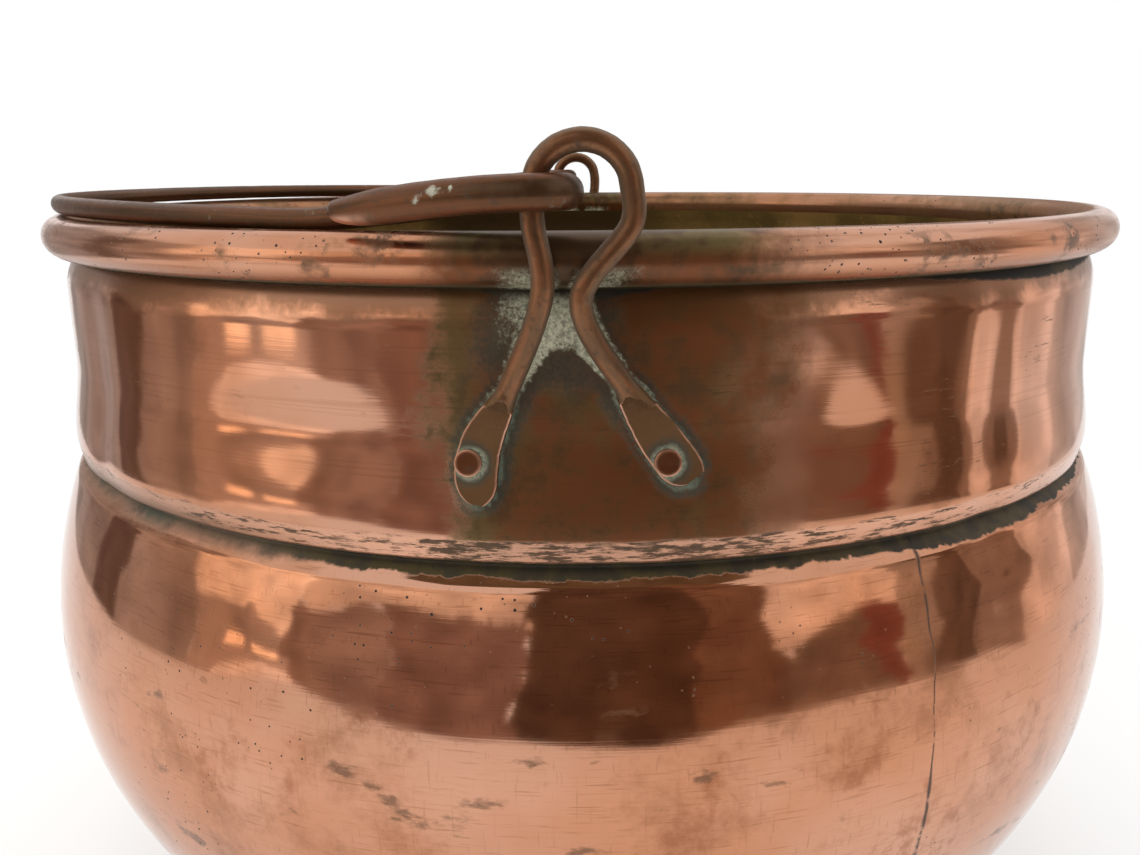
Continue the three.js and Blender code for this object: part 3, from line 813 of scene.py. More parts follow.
class Recipe:
    """The nodes of a material or a world. A value is a number, a colour or another node's output."""

    def __init__(self, owner):
        owner.use_nodes = True
        self.owner = owner
        self.nodes = owner.node_tree.nodes
        self.links = owner.node_tree.links
        self.place = self.node("TexCoord", {}, "Object")

    def own(self, kind):
        """The node of a kind that the tree starts with."""
        return next(node for node in self.nodes if node.type == kind)

    def feed(self, socket, value):
        if isinstance(value, bpy.types.NodeSocket):
            self.links.new(value, socket)
        else:
            socket.default_value = value

    def node(self, kind, inputs, output=0, **settings):
        """Adds a node with its settings and inputs, and gives one of its outputs."""
        node = self.nodes.new(f"ShaderNode{kind}")
        for name, value in settings.items():
            setattr(node, name, value)
        for name, value in inputs.items():
            self.feed(node.inputs[name], value)
        return node.outputs[output]

    def math(self, operation, *values, **settings):
        return self.node("Math", dict(enumerate(values)), operation=operation, **settings)

    def times(self, *values):
        return reduce(lambda first, last: self.math("MULTIPLY", first, last), values)

    def plus(self, *values):
        return reduce(lambda first, last: self.math("ADD", first, last), values)

    def most(self, *values):
        return reduce(lambda first, last: self.math("MAXIMUM", first, last), values)

    def less(self, value):
        return self.math("SUBTRACT", 1, value)

    def swing(self, pattern, amount):
        """A pattern turned into a push to both sides."""
        return self.math("MULTIPLY_ADD", pattern, amount, -0.5 * amount)

    def pushed(self, value, *pushes):
        """A value pushed to both sides by patterns, each given with its amount."""
        return self.plus(value, *(self.swing(pattern, amount) for pattern, amount in pushes))

    def fade(self, value, low, high):
        """0 at low and 1 at high, eased."""
        inputs = {"Value": value, "From Min": low, "From Max": high}
        return self.node("MapRange", inputs, "Result", interpolation_type="SMOOTHSTEP")

    def near(self, value, middle, reach):
        """1 where a value is at the middle, falling to 0 at a reach on both sides."""
        apart = self.math("ABSOLUTE", self.math("SUBTRACT", value, middle))
        return self.fade(apart, reach, 0)

    def stretched(self, scale, turn=(0, 0, 0), vector=None):
        inputs = {"Vector": vector or self.place, "Scale": scale, "Rotation": turn}
        return self.node("Mapping", inputs, "Vector")

    def noise(self, scale, detail=3, roughness=0.55, vector=None):
        inputs = {"Vector": vector or self.place, "Scale": scale, "Detail": detail, "Roughness": roughness}
        return self.node("TexNoise", inputs, "Fac")

    def cells(self, scale):
        return self.node("TexVoronoi", {"Vector": self.place, "Scale": scale}, "Distance")

    def attribute(self, name, output="Fac"):
        return self.node("Attribute", {}, output, attribute_name=name)

    def mix(self, part, first, last):
        return self.node("Mix", {"Factor": part, 6: first, 7: last}, 2, data_type="RGBA")

    def level(self, part, first, last):
        return self.node("Mix", {"Factor": part, 2: first, 3: last})

    def split(self, vector):
        return self.node("SeparateXYZ", {0: vector}).node.outputs

    def join(self, x, y, z):
        return self.node("CombineXYZ", {0: x, 1: y, 2: z})

    def start(self, colour, metallic, roughness):
        self.colour, self.metallic, self.roughness = colour, metallic, roughness

    def lay(self, part, colour, metallic, roughness):
        """Covers part of the surface with another finish."""
        self.colour = self.mix(part, self.colour, colour)
        self.metallic = self.level(part, self.metallic, metallic)
        self.roughness = self.level(part, self.roughness, roughness)

    def finish(self, height, distance):
        bump = self.node("Bump", {"Distance": distance, "Height": height}, "Normal")
        inputs = self.own("BSDF_PRINCIPLED").inputs
        self.feed(inputs["Normal"], bump)
        self.feed(inputs["Base Color"], self.colour)
        self.feed(inputs["Metallic"], self.metallic)
        self.feed(inputs["Roughness"], self.roughness)
        return self.owner

    def show(self, surface):
        """Ends a material that isn't a finish."""
        self.feed(self.own("OUTPUT_MATERIAL").inputs["Surface"], surface)
        return self.owner


def material(name):
    return Recipe(bpy.data.materials.new(name))


# Metals, what lies on them and painted shade, as linear colours
COPPER_PINK = (0.62, 0.325, 0.215, 1)
COPPER_WARM = (0.56, 0.25, 0.138, 1)
COPPER_WORN = (0.66, 0.36, 0.245, 1)
COPPER_TARNISH = (0.27, 0.105, 0.047, 1)
COPPER_STAIN = (0.33, 0.115, 0.05, 1)
PATINA_RED = (0.145, 0.043, 0.010, 1)
PATINA_AND_SHADE_BROWN = (0.115, 0.048, 0.012, 1)
PATINA_OLIVE = (0.105, 0.080, 0.026, 1)
PATINA_AND_SHADE_DARK = (0.05, 0.027, 0.009, 1)
ROLL_STAIN = (0.22, 0.115, 0.05, 1)
PADDLE_BROWN = (0.125, 0.062, 0.022, 1)
ROD_DARK = (0.045, 0.026, 0.013, 1)
ROD_DUST = (0.115, 0.098, 0.068, 1)
VERDIGRIS_PALE = (0.52, 0.50, 0.36, 1)
VERDIGRIS_MID = (0.21, 0.21, 0.15, 1)
VERDIGRIS_GREEN = (0.15, 0.185, 0.13, 1)
CHALK = (0.40, 0.39, 0.31, 1)
GRIME_AND_SHADE_GREY = (0.068, 0.066, 0.046, 1)
GRIME_AND_SHADE_OLIVE = (0.052, 0.036, 0.009, 1)
GRIME_AND_SHADE_BROWN = (0.066, 0.043, 0.016, 1)
GRIME_TEAL = (0.030, 0.038, 0.027, 1)
SMUDGE_AND_SHADE = (0.031, 0.023, 0.012, 1)
PIT_AND_SHADE_BLACK = (0.014, 0.010, 0.007, 1)
INSIDE_LIGHT = (0.36, 0.215, 0.07, 1)
INSIDE_MID = (0.23, 0.15, 0.05, 1)
INSIDE_DARK = (0.092, 0.062, 0.018, 1)
INSIDE_GLINT = (0.45, 0.26, 0.09, 1)
EAR_LIGHT = (0.235, 0.102, 0.047, 1)
EAR_DARK = (0.148, 0.078, 0.040, 1)
BAIL_LIGHT = (0.145, 0.052, 0.020, 1)
BAIL_DARK = (0.075, 0.035, 0.014, 1)
RIVET_LIGHT = (0.17, 0.060, 0.025, 1)
RIVET_DARK = (0.12, 0.045, 0.019, 1)
WIRE_DARK = (0.06, 0.045, 0.035, 1)
WIRE_RUST = (0.19, 0.075, 0.03, 1)

BAND_FOOT_DROP = BAND_DROP + BAND_FACE
# How far the groove's grime and painted shade reach below the band
GRIME_AND_SHADE_OVERLAP = 0.0024
GRIME_AND_SHADE_FOOT = BAND_DROP + BAND_HEIGHT + GRIME_AND_SHADE_OVERLAP


def ear_arc(m, x, y):
    """The way round the neck from the middle of the nearer ear, to the right as one faces that ear."""
    facing = m.times(m.math("SIGN", y), -1)
    return m.times(m.math("ARCTAN2", m.times(x, facing), m.math("ABSOLUTE", y)), NECK_RADIUS)


def brushed_copper(m, smooth, brushed, lined):
    """Clean brushed metal with clouds of tarnish. Gives its patterns, for what lies on it."""
    cloud = m.noise(16, 4)
    patch = m.noise(46, 5, 0.6)
    fine = m.noise(190, 5, 0.65)
    brush = m.noise(1, 4, 0.65, m.stretched((12, 12, 1500)))
    roughness = m.plus(smooth, m.times(brush, brushed))
    m.start(m.mix(m.fade(cloud, 0.36, 0.64), COPPER_PINK, COPPER_WARM), 1, roughness)
    tarnish = m.times(m.fade(patch, 0.5, 0.76), m.fade(cloud, 0.42, 0.6))
    m.lay(m.times(tarnish, 0.6), COPPER_TARNISH, 1, m.plus(roughness, 0.08))
    m.lay(m.times(m.fade(brush, 0.54, 0.74), lined), COPPER_TARNISH, 1, m.plus(roughness, 0.05))
    return cloud, patch, fine, brush


def groove_grime_and_shade(m, x, drop, patch, fine):
    """Old polish and soot in the groove, with painted shade in its hollow under the band: soft and grey on
    the left, olive in front, brown on the right.
    """
    ragged = m.plus(m.swing(patch, 0.0030), m.swing(fine, 0.0026))
    soft = m.fade(x, -0.045, -0.085)
    foot = m.plus(GRIME_AND_SHADE_FOOT, m.times(m.near(x, 0.090, 0.035), 0.0012), m.times(soft, 0.0022))
    dark = m.mix(m.fade(x, 0.0, 0.06), GRIME_AND_SHADE_OLIVE, GRIME_AND_SHADE_BROWN)
    dark = m.mix(m.fade(fine, 0.40, 0.60), SMUDGE_AND_SHADE, dark)
    tone = m.mix(m.times(soft, m.fade(fine, 0.25, 0.55)), dark, GRIME_AND_SHADE_GREY)
    edge = m.math("MULTIPLY_ADD", soft, -0.0036, -0.0004)
    low = m.fade(m.plus(drop, ragged), foot, m.plus(foot, edge))
    low = m.times(low, m.level(m.times(soft, m.fade(patch, 0.4, 0.6)), 1, 0.85))
    high = m.fade(m.pushed(drop, (fine, 0.0014)), BAND_FOOT_DROP - 0.0005, BAND_FOOT_DROP + 0.0002)
    # Grime mixed with painted shade in the groove's hollow under the band
    m.lay(m.times(low, high), tone, 0.1, 0.6)


def powder_grain(m, fine):
    """The grain of powdery stains, and the specks in it."""
    grain = m.noise(1300, 6, 0.8)
    return grain, m.plus(m.times(fine, 0.4), m.times(grain, 0.6))


def neck_copper():
    """Brushed along the neck and brown round the ears, with verdigris creeping out from under them, and
    painted shade in the groove, under the roll and at the band's left end.
    """
    m = material("neck_copper")
    x, y, z = m.split(m.place)
    drop = m.math("SUBTRACT", RIM_HEIGHT, z)
    arc = ear_arc(m, x, y)
    cloud, patch, fine, brush = brushed_copper(m, 0.045, 0.10, 0.3)

    # Brown patina, olive at its edges and in patches
    shifted = m.pushed(arc, (cloud, 0.03), (patch, 0.036), (fine, 0.012), (brush, 0.005))
    patina = m.times(m.fade(shifted, -0.034, -0.024), m.fade(shifted, 0.048, 0.028))
    olive = m.most(m.fade(shifted, -0.014, -0.026), m.times(m.fade(patch, 0.52, 0.64), 0.7))
    brown = m.mix(m.fade(fine, 0.4, 0.6), PATINA_RED, PATINA_AND_SHADE_BROWN)
    m.lay(m.times(patina, 0.95), m.mix(m.times(olive, 0.85), brown, PATINA_OLIVE), 0.6, 0.34)
    m.lay(m.times(patina, m.fade(fine, 0.5, 0.66), 0.45), PATINA_AND_SHADE_DARK, 0.5, 0.4)
    m.lay(m.times(patina, m.fade(brush, 0.5, 0.7), 0.25), PATINA_AND_SHADE_DARK, 0.5, 0.34)

    # The band's polished face, with dark marks along it and duller on its lower half, and painted shade
    # towards its left end
    hatch = m.noise(1, 5, 0.75, m.stretched((130, 130, 1000), (0.12, 0.2, 0)))
    torn = m.pushed(drop, (fine, 0.0010), (hatch, 0.0018))
    band = m.fade(torn, BAND_DROP - 0.0003, BAND_DROP + 0.0003)
    m.lay(m.times(band, 0.7), COPPER_WORN, 1, 0.2)
    ahead = m.near(arc, 0, 0.11)
    marked = m.fade(m.plus(hatch, m.times(ahead, 0.08)), 0.53, 0.62)
    marked = m.times(marked, m.fade(m.plus(patch, m.times(ahead, 0.08)), 0.40, 0.56))
    m.lay(m.times(band, marked, 0.92), PATINA_AND_SHADE_DARK, 0.3, 0.55)
    lower = m.fade(drop, BAND_DROP + 0.0010, BAND_FOOT_DROP)
    m.lay(m.times(lower, m.fade(cloud, 0.36, 0.6), 0.4), COPPER_TARNISH, 1, 0.3)
    # Painted shade towards the band's left end, deepest on its lower half
    m.lay(m.times(band, m.fade(x, -0.03, -0.11), m.level(lower, 0.4, 0.9)), PATINA_AND_SHADE_BROWN, 0.6, 0.4)
    scuff = m.times(m.fade(hatch, 0.57, 0.66), m.fade(patch, 0.52, 0.62))
    m.lay(m.times(scuff, 0.6), PATINA_AND_SHADE_DARK, 0.5, 0.4)
    # Grime and painted shade in the groove
    groove_grime_and_shade(m, x, drop, patch, fine)

    # Browner just under the roll, a painted shadow line with grime where the roll meets the neck, and the
    # soot and powder left by the ears
    by_ear = m.near(arc, EAR_LEAN, 0.024)
    rising = m.pushed(drop, (patch, 0.014), (fine, 0.008))
    m.lay(m.times(m.fade(rising, 0.0120, 0.0080), 0.6), PATINA_AND_SHADE_BROWN, 0.7, 0.35)
    ragged = m.plus(m.times(m.near(x, 0.105, 0.05), 0.0026), m.swing(fine, -0.0018))
    under = m.plus(0.0059, m.times(by_ear, 0.0024), ragged)
    # Painted shadow under the roll's edge, mixed with grime, reaching lower by the ear
    shade = m.mix(m.fade(patch, 0.5, 0.6), PIT_AND_SHADE_BLACK, GRIME_AND_SHADE_OLIVE)
    m.lay(m.fade(drop, under, m.plus(under, -0.0008)), shade, 0.1, 0.6)
    grain, speck = powder_grain(m, fine)
    uneven = m.plus(m.swing(speck, 1.9), m.swing(patch, 0.9))
    soot = m.fade(m.plus(m.attribute("soot"), uneven), 0.2, 0.95)
    soot = m.times(soot, m.level(m.fade(grain, 0.36, 0.64), 0.62, 0.95))
    m.lay(soot, m.mix(m.fade(drop, 0.022, 0.032), SMUDGE_AND_SHADE, GRIME_TEAL), 0.1, 0.75)
    powder = m.fade(m.plus(m.attribute("powder"), uneven), 0.4, 0.95)
    pale = m.mix(m.fade(drop, 0.020, 0.030), VERDIGRIS_PALE, VERDIGRIS_GREEN)
    powder = m.times(powder, m.fade(drop, 0.0058, 0.0078))
    m.lay(powder, m.mix(m.fade(grain, 0.38, 0.6), VERDIGRIS_MID, pale), 0, 0.9)
    return m.finish(m.plus(m.times(brush, 0.04), m.times(speck, powder)), 0.0002)


def belly_copper():
    """Mirror-bright, scoured with fine scratches, with brown stains, black spots and a wandering seam."""
    m = material("belly_copper")
    x, y, z = m.split(m.place)
    drop = m.math("SUBTRACT", RIM_HEIGHT, z)
    _, patch, fine, brush = brushed_copper(m, 0.04, 0.06, 0.13)
    falling = m.noise(1, 2, 0.5, m.stretched((90, 90, 2400), (0.5, 0.7, 0)))
    rising = m.noise(1, 2, 0.5, m.stretched((90, 90, 2400), (-0.6, -0.9, 0.4)))
    upright = m.noise(1, 2, 0.5, m.stretched((1500, 1500, 70)))
    slanted = m.most(m.fade(falling, 0.62, 0.74), m.fade(rising, 0.62, 0.74))
    scratch = m.most(slanted, m.times(m.fade(upright, 0.6, 0.74), 0.6))
    m.lay(m.times(scratch, 0.45), COPPER_TARNISH, 1, 0.16)
    low = m.fade(drop, 0.070, 0.095)
    stain = m.times(m.fade(m.noise(30, 6, 0.7), 0.52, 0.70), low)
    m.lay(m.times(stain, 0.55), COPPER_TARNISH, 0.9, 0.25)
    m.lay(m.times(m.fade(patch, 0.50, 0.64), m.fade(fine, 0.44, 0.62), low, 0.6), COPPER_STAIN, 0.9, 0.25)
    # Grime and painted shade in the groove
    groove_grime_and_shade(m, x, drop, patch, fine)
    spots = m.pushed(m.cells(420), (fine, 0.3))
    pits = m.times(m.fade(spots, 0.13, 0.07), m.fade(m.noise(26, 3), 0.52, 0.60))
    smear = m.fade(m.noise(1, 5, 0.6, m.stretched((60, 60, 120), (0.4, 0.5, 0))), 0.63, 0.72)
    m.lay(m.times(smear, low, 0.6), PATINA_AND_SHADE_DARK, 0.5, 0.4)
    azimuth = m.math("ARCTAN2", x, m.times(y, -1))
    wander = m.pushed(azimuth, (m.noise(26, 3, 0.6), 0.05))
    seam_reach = m.level(m.fade(patch, 0.42, 0.62), 0.0022, 0.0062)
    seam = m.times(m.near(wander, SEAM_AZIMUTH, seam_reach), m.fade(fine, 0.36, 0.50))
    m.lay(m.most(pits, m.times(seam, 0.9)), PIT_AND_SHADE_BLACK, 0.2, 0.6)
    return m.finish(m.times(brush, 0.02), 0.0003)


def rim_copper():
    """Worn bright along the roll, with pits and dark patches, brown by the ears, and painted shade with
    grime along its underside.
    """
    m = material("rim_copper")
    x, y, z = m.split(m.place)
    drop = m.math("SUBTRACT", RIM_HEIGHT, z)
    arc = ear_arc(m, x, y)
    azimuth = m.math("ARCTAN2", x, m.times(y, -1))
    along = m.join(m.times(azimuth, 4), m.times(drop, 700), 0)
    cloud = m.noise(20, 4)
    patch = m.noise(60, 5, 0.6)
    fine = m.noise(300, 5, 0.65)
    brush = m.noise(1, 4, 0.6, along)
    copper = m.mix(m.fade(cloud, 0.36, 0.64), COPPER_PINK, COPPER_WARM)
    m.start(copper, 1, m.plus(0.1, m.times(brush, 0.16)))
    m.lay(m.times(m.fade(brush, 0.5, 0.72), 0.5), COPPER_TARNISH, 1, 0.26)
    m.lay(m.times(m.fade(drop, 0.0012, 0.0038), 0.75), COPPER_TARNISH, 1, 0.3)
    radius = m.math("SQRT", m.plus(m.times(x, x), m.times(y, y)))
    inner = m.fade(radius, ROLL_MIDDLE + 0.0015, ROLL_MIDDLE - 0.0025)
    m.lay(m.times(inner, m.level(m.fade(patch, 0.4, 0.6), 0.45, 0.9)), ROLL_STAIN, 0.7, 0.42)
    dark = m.times(m.fade(patch, 0.56, 0.68), m.fade(fine, 0.42, 0.55))
    m.lay(m.times(dark, 0.8), PATINA_AND_SHADE_DARK, 0.4, 0.4)
    shifted = m.pushed(arc, (cloud, 0.03), (patch, 0.012), (fine, 0.012))
    browned = m.times(m.fade(shifted, -0.030, -0.017), m.fade(shifted, 0.046, 0.026))
    brown = m.mix(m.fade(drop, -0.0030, 0.0006), PATINA_OLIVE, PATINA_RED)
    brown = m.mix(m.fade(m.plus(m.times(patch, 0.6), m.times(fine, 0.4)), 0.42, 0.58), PATINA_AND_SHADE_DARK, brown)
    m.lay(m.times(browned, 0.95), brown, 0.6, 0.36)
    spots = m.pushed(m.cells(620), (fine, 0.55))
    pits = m.times(m.fade(spots, 0.17, 0.09), m.fade(m.noise(36, 3), 0.42, 0.56), m.less(browned))
    m.lay(pits, PIT_AND_SHADE_BLACK, 0.2, 0.6)
    low = m.pushed(drop, (patch, 0.0012), (fine, 0.0012))
    # Painted shade with grime along the roll's underside, where it meets the neck
    m.lay(m.fade(low, 0.0040, 0.0048), GRIME_AND_SHADE_BROWN, 0.1, 0.6)
    grain, speck = powder_grain(m, fine)
    powder = m.fade(m.pushed(m.attribute("powder"), (speck, 1.8), (patch, 0.6)), 0.35, 0.95)
    powder = m.times(powder, m.fade(low, 0.0004, 0.0030))
    m.lay(powder, m.mix(m.fade(grain, 0.36, 0.62), VERDIGRIS_MID, VERDIGRIS_PALE), 0, 0.9)
    return m.finish(m.plus(m.times(brush, 0.06), m.times(pits, -0.2), m.times(speck, powder)), 0.0002)


def stained_and_shaded_inside():
    """The inside, stained brown and olive by fire and food, with painted shade near the top by the ears."""
    m = material("stained_and_shaded_inside")
    x, y, z = m.split(m.place)
    cloud = m.noise(18, 4, 0.6)
    patch = m.noise(60, 6, 0.65)
    fine = m.noise(240, 4, 0.6)
    m.start(m.mix(m.fade(cloud, 0.38, 0.62), INSIDE_LIGHT, INSIDE_MID), 0.5, 0.36)
    m.lay(m.times(m.fade(patch, 0.30, 0.64), 0.85), INSIDE_DARK, 0.3, 0.45)
    m.lay(m.times(m.fade(fine, 0.58, 0.7), 0.5), INSIDE_GLINT, 0.6, 0.3)
    # Painted shade on the inside near the top by the ears, broken up by patches
    by_ear = m.fade(m.near(ear_arc(m, x, y), 0.02, 0.085), 0.1, 0.6)
    by_ear = m.times(by_ear, m.fade(z, RIM_HEIGHT - 0.06, RIM_HEIGHT - 0.03))
    m.lay(m.times(by_ear, m.fade(patch, 0.24, 0.44), 0.95), PATINA_AND_SHADE_DARK, 0.3, 0.5)
    return m.finish(m.plus(patch, m.times(fine, 0.4)), 0.0003)


def rod_metal(name, light, dark, grain, dusty):
    """Brown forged rod, with soft streaks along it and dust on its sides. Gives its recipe and patterns."""
    m = material(name)
    along = m.attribute("rod_place", "Vector")
    streak = m.noise(1, 4, 0.6, m.stretched(grain, vector=along))
    cloud = m.noise(90, 4, 0.6)
    fine = m.noise(600, 5, 0.65)
    m.start(m.mix(m.fade(streak, 0.38, 0.62), dark, light), 0.8, m.plus(0.24, m.times(fine, 0.2)))
    m.lay(m.times(m.fade(fine, 0.52, 0.68), 0.55), ROD_DARK, 0.3, 0.5)
    across = m.split(along)[0]
    sides = m.fade(m.pushed(m.math("ABSOLUTE", across), (cloud, 0.5)), 0.55, 0.95)
    m.lay(m.times(sides, dusty), ROD_DUST, 0.2, 0.7)
    return m, streak, cloud, fine


def wear_bright(m, streak, cloud, fine):
    """Ends a rod's material: bright copper where it has rubbed, over a faintly uneven skin."""
    m.lay(m.times(m.attribute("worn"), m.fade(cloud, 0.3, 0.55), 0.9), COPPER_WORN, 1, 0.3)
    return m.finish(m.plus(fine, m.times(streak, 0.5)), 0.0001)


def rivet_gap(m):
    """The distance to the nearer rivet's head, on either ear."""
    x, y, z = m.split(m.place)
    across = m.times(x, m.math("SIGN", y), -1)
    gaps = []
    for hand in ("left", "right"):
        seat, _ = rivet_seat(f"front_ear_{hand}_rivet")
        aside, above = m.plus(across, -seat.x), m.plus(z, -seat.z)
        gaps.append(m.math("SQRT", m.plus(m.times(aside, aside), m.times(above, above))))
    return m.plus(m.math("MINIMUM", *gaps), -RIVET_HEAD)


def ear_metal():
    """Reddish rod, with flat brown paddles and rings of verdigris round the rivets."""
    m, streak, cloud, fine = rod_metal("ear_rod", EAR_LIGHT, EAR_DARK, (1.1, 1.1, 70), 0.5)
    m.lay(m.times(m.attribute("flattened"), 0.9), PADDLE_BROWN, 0.5, 0.42)
    grain = m.noise(1500, 5, 0.75)
    gap = m.pushed(rivet_gap(m), (cloud, 0.0026), (grain, 0.0022))
    m.lay(m.times(m.fade(gap, 0.0028, 0.0010), 0.75), GRIME_TEAL, 0.1, 0.7)
    crust = m.mix(m.fade(grain, 0.4, 0.6), VERDIGRIS_GREEN, VERDIGRIS_PALE)
    m.lay(m.times(m.fade(gap, 0.0014, 0.0002), 0.85), crust, 0, 0.9)
    return wear_bright(m, streak, cloud, fine)


def bail_metal():
    """Brown rod, bloomed in places, with chalky spots on a hook."""
    m, streak, cloud, fine = rod_metal("bail_rod", BAIL_LIGHT, BAIL_DARK, (1.3, 1.3, 18), 0.08)
    bloom = m.times(m.fade(cloud, 0.62, 0.70), m.fade(fine, 0.5, 0.6))
    m.lay(m.times(bloom, 0.25), CHALK, 0, 0.85)
    chalk = m.fade(m.pushed(m.attribute("chalk"), (fine, 1.4)), 0.35, 0.7)
    m.lay(m.times(chalk, 0.9), CHALK, 0, 0.9)
    return wear_bright(m, streak, cloud, fine)


def rivet_metal():
    """Reddish brown heads with rubbed edges."""
    return wear_bright(*rod_metal("rivet_head", RIVET_LIGHT, RIVET_DARK, (1, 1, 1), 0))


def rusted_wire():
    m = material("rusted_iron_wire")
    fine = m.noise(300, 5, 0.6)
    m.start(m.mix(m.fade(fine, 0.4, 0.65), WIRE_DARK, WIRE_RUST), 0.5, 0.65)
    return m.finish(fine, 0.0003)


# Assembly


def fit(piece, node, body, slot, *materials):
    for finish in materials:
        piece.data.materials.append(finish)
    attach(piece, body)
    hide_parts(node)


def build():
    sheet = (neck_copper(), belly_copper(), rim_copper(), stained_and_shaded_inside())
    ear_rod = ear_metal()
    rivet_head = rivet_metal()
    fit(body_wall(), "body_wall", "vessel", "polished_copper", *sheet)
    fit(base_pan(), "base_pan", "vessel", "polished_copper", *sheet)
    fit(rim_wire(), "rim_wire", "vessel", "iron_wire", rusted_wire())
    for end, turn in (("front", 0), ("back", math.pi)):
        fit(ear(f"{end}_omega_ear", turn), f"{end}_ear", "vessel", "aged_copper", ear_rod)
        for hand in ("left", "right"):
            node = f"{end}_ear_{hand}_rivet"
            fit(rivet(f"{end}_{hand}_rivet", node), node, "vessel", "aged_copper", rivet_head)
    fit(bail(), "bail", "bail", "aged_copper", bail_metal())


# Stage

FLOOR_FRONT = -0.60
FLOOR_BACK = 3.0
FLOOR_SIDE = 0.66
FLOOR_SHADE_REACH = 0.6
FLOOR_DROP = 0.0003
FLOOR_WAVE = 0.05
FLOOR_TONE = (0.86, 0.85, 0.83, 1)
FLOOR_ROUGHNESS = 0.9
FLOOR_WHITE = 0.6
ROOM_FILL = 0.55
CARD_DISTANCE = 1.5
NEAR_DISTANCE = 1.3
CARD_SWAY = 0.10
CARD_SHIFT = Vector((0, 0, 9))

# Reflection cards, like the walls of a room: first and last azimuth in degrees, low and high edge, tone
CARDS = [
    (-138, -108, -0.5, 0.9, (0.40, 0.37, 0.35)),
    (-108, -96, -0.5, 0.9, (0.17, 0.13, 0.11)),
    (-96, -79, -0.5, 0.9, (0.45, 0.41, 0.38)),
    (-79, -54, -0.5, 0.20, (0.58, 0.50, 0.45)),
    (-79, -54, 0.20, 0.9, (1.40, 1.26, 1.08)),
    (-54, -35, -0.5, 0.42, (0.38, 0.28, 0.23)),
    (-35, -10, -0.5, 0.45, (0.30, 0.20, 0.16)),
    (-54, -10, 0.43, 0.9, (0.95, 0.80, 0.65)),
    (-10, 22, -0.5, 2.6, (0.13, 0.08, 0.055)),
    (22, 36, -0.5, 2.6, (0.24, 0.15, 0.10)),
    (36, 52, -0.5, 0.3, (0.27, 0.21, 0.17)),
    (52, 60, -0.5, 0.3, (0.28, 0.12, 0.10)),
    (36, 60, 0.3, 0.9, (1.10, 1.00, 0.90)),
    (60, 67, -0.5, 0.9, (0.50, 0.45, 0.40)),
    (67, 80, -0.5, 0.9, (0.20, 0.15, 0.12)),
    (80, 90, -0.5, 0.9, (0.40, 0.33, 0.28)),
    (90, 112, -0.5, 0.9, (0.98, 0.92, 0.88)),
    (112, 140, -0.5, 0.9, (0.60, 0.56, 0.53)),
    (150, 210, 0.24, 0.9, (0.25, 0.20, 0.17)),
]
LOW_CARD = (-76, -38, -0.34, -0.05, (1.38, 1.30, 1.22), -0.06)
LAMP_TONE = (1.8, 1.5, 1.15)
LAMP_CARDS = [(-71, -65, 0.0, 0.06, LAMP_TONE), (-62, -55, 0.0, 0.06, LAMP_TONE)]
LAMP_SWAY = 0.015
CEILING_HEIGHT = 2.6
CEILING_SIDE = 1.2
CEILING_FRONT = -1.6
CEILING_BACK = -0.2
CEILING_TONE = (0.17, 0.13, 0.08)

# Soft lights: name, place, size, power and tone
LIGHTS = [
    ("window_left", (-1.3, -0.7, 1.3), 0.9, 22, (1, 0.97, 0.93)),
    ("soft_right", (1.4, -0.5, 1.2), 0.8, 9, (1, 1, 1)),
    ("soft_top", (0.1, 0.6, 1.8), 1.4, 22, (1, 1, 1)),
]
LIGHT_AIM = Vector((0, 0, 0.12))


def glow(name, tone):
    """A card's tone, mottled a little."""
    m = material(name)
    cloud = m.noise(5, 2, 0.5)
    mottle = {"Value": cloud, "From Min": 0.3, "From Max": 0.7, "To Min": 0.7, "To Max": 1.3}
    strength = m.node("MapRange", mottle, "Result")
    return m.show(m.node("Emission", {"Color": (*tone, 1), "Strength": strength}))


def seen_share(m):
    """1 for rays from the camera and for mirrored and refracted ones, else 0."""
    rays = m.node("LightPath", {}).node.outputs
    seen = m.math("ADD", rays["Is Camera Ray"], rays["Is Glossy Ray"], use_clamp=True)
    return m.math("ADD", seen, rays["Is Transmission Ray"], use_clamp=True)


def floor_finish():
    """Matte where shadows fall, fading to white further away."""
    m = material("pale_floor")
    matte = m.own("BSDF_PRINCIPLED")
    m.feed(matte.inputs["Base Color"], FLOOR_TONE)
    m.feed(matte.inputs["Roughness"], FLOOR_ROUGHNESS)
    spread = {
        "Value": m.node("VectorMath", {0: m.place}, "Value", operation="LENGTH"),
        "From Min": FLOOR_SHADE_REACH / 2,
        "From Max": FLOOR_SHADE_REACH,
        "To Min": FLOOR_WHITE,
    }
    share = m.times(seen_share(m), m.node("MapRange", spread, "Result"))
    return m.show(m.node("MixShader", {"Fac": share, 1: matte.outputs[0], 2: m.node("Emission", {})}))


def floor():
    plane = grid("pale_floor", 48, 1, 1)
    for vertex in plane.data.vertices:
        x = 2 * FLOOR_SIDE * vertex.co.x
        front = FLOOR_FRONT + FLOOR_WAVE * noise.noise(Vector((5 * x, 0, 0)))
        vertex.co = (x, front if vertex.co.y < 0 else FLOOR_BACK, -FLOOR_DROP)
    plane.data.materials.append(floor_finish())


def panel(name, tone, place):
    """A glowing plane that only mirrors see. place takes shares across and up it, and gives its points."""
    plane = grid(name, 24, 24, 1)
    for vertex in plane.data.vertices:
        vertex.co = place(vertex.co.x + 0.5, vertex.co.y + 0.5)
    plane.data.materials.append(glow(name, tone))
    plane.visible_camera = False
    plane.visible_diffuse = False
    plane.visible_shadow = False


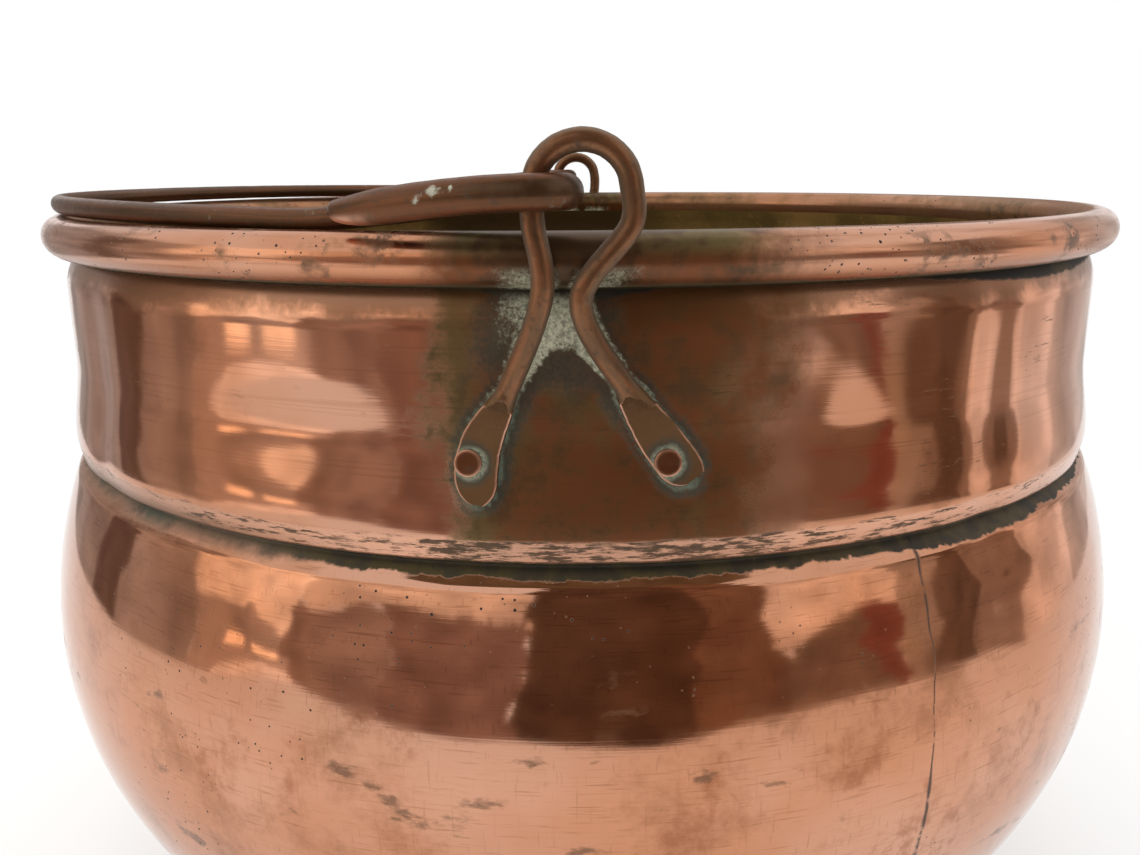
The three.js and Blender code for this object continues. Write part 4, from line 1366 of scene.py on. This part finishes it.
def card(name, distance, first, last, low, high, tone, fall=0.0, sway=CARD_SWAY):
    def place(across, up):
        angle = math.radians(lerp(first, last, across))
        height = lerp(low, high + fall * across, up)
        spot = Vector((4 * angle, 5 * height, 0))
        angle += sway * (noise.noise(spot) + 0.5 * noise.noise(3 * spot))
        height += sway * (noise.noise(spot + CARD_SHIFT) + 0.5 * noise.noise(3 * spot + CARD_SHIFT))
        return distance * math.sin(angle), -distance * math.cos(angle), height

    panel(name, tone, place)


def ceiling():
    def place(across, up):
        x = lerp(-CEILING_SIDE, CEILING_SIDE, across)
        return x, lerp(CEILING_FRONT, CEILING_BACK, up), CEILING_HEIGHT

    panel("dark_ceiling", CEILING_TONE, place)


def area_light(name, place, size, power, tone):
    lamp = bpy.data.lights.new(name, "AREA")
    lamp.size = size
    lamp.energy = power
    lamp.color = tone
    carrier = bpy.data.objects.new(name, lamp)
    carrier.visible_glossy = False
    carrier.location = place
    carrier.rotation_euler = (LIGHT_AIM - Vector(place)).to_track_quat("-Z", "Y").to_euler()
    bpy.context.scene.collection.objects.link(carrier)


def world():
    m = Recipe(bpy.data.worlds.new("white_studio"))
    bpy.context.scene.world = m.owner
    sky = m.own("BACKGROUND")
    m.feed(sky.inputs["Color"], (1, 1, 1, 1))
    fill = {"Value": seen_share(m), "To Min": ROOM_FILL}
    m.feed(sky.inputs["Strength"], m.node("MapRange", fill, "Result"))


def camera():
    lens = bpy.data.cameras.new("camera")
    lens.sensor_width = SENSOR_WIDTH
    lens.lens = FOCAL_PIXELS / IMAGE_WIDTH * SENSOR_WIDTH
    lens.clip_start = 0.01
    carrier = bpy.data.objects.new("camera", lens)
    turn = Matrix.Rotation(CAMERA_YAW, 4, "Z") @ Matrix.Rotation(math.pi / 2 + CAMERA_PITCH, 4, "X")
    turn = turn @ Matrix.Rotation(CAMERA_ROLL, 4, "Z")
    carrier.matrix_world = Matrix.Translation(CAMERA_PLACE) @ turn
    bpy.context.scene.collection.objects.link(carrier)
    bpy.context.scene.camera = carrier


def stage():
    bpy.context.scene.view_settings.view_transform = "Standard"
    floor()
    for number, values in enumerate(CARDS):
        card(f"reflection_card_{number}", CARD_DISTANCE, *values)
    card("low_card", NEAR_DISTANCE, *LOW_CARD)
    for number, values in enumerate(LAMP_CARDS):
        card(f"lamp_card_{number}", NEAR_DISTANCE, *values, sway=LAMP_SWAY)
    ceiling()
    for values in LIGHTS:
        area_light(*values)
    world()
    camera()


build()
stage()
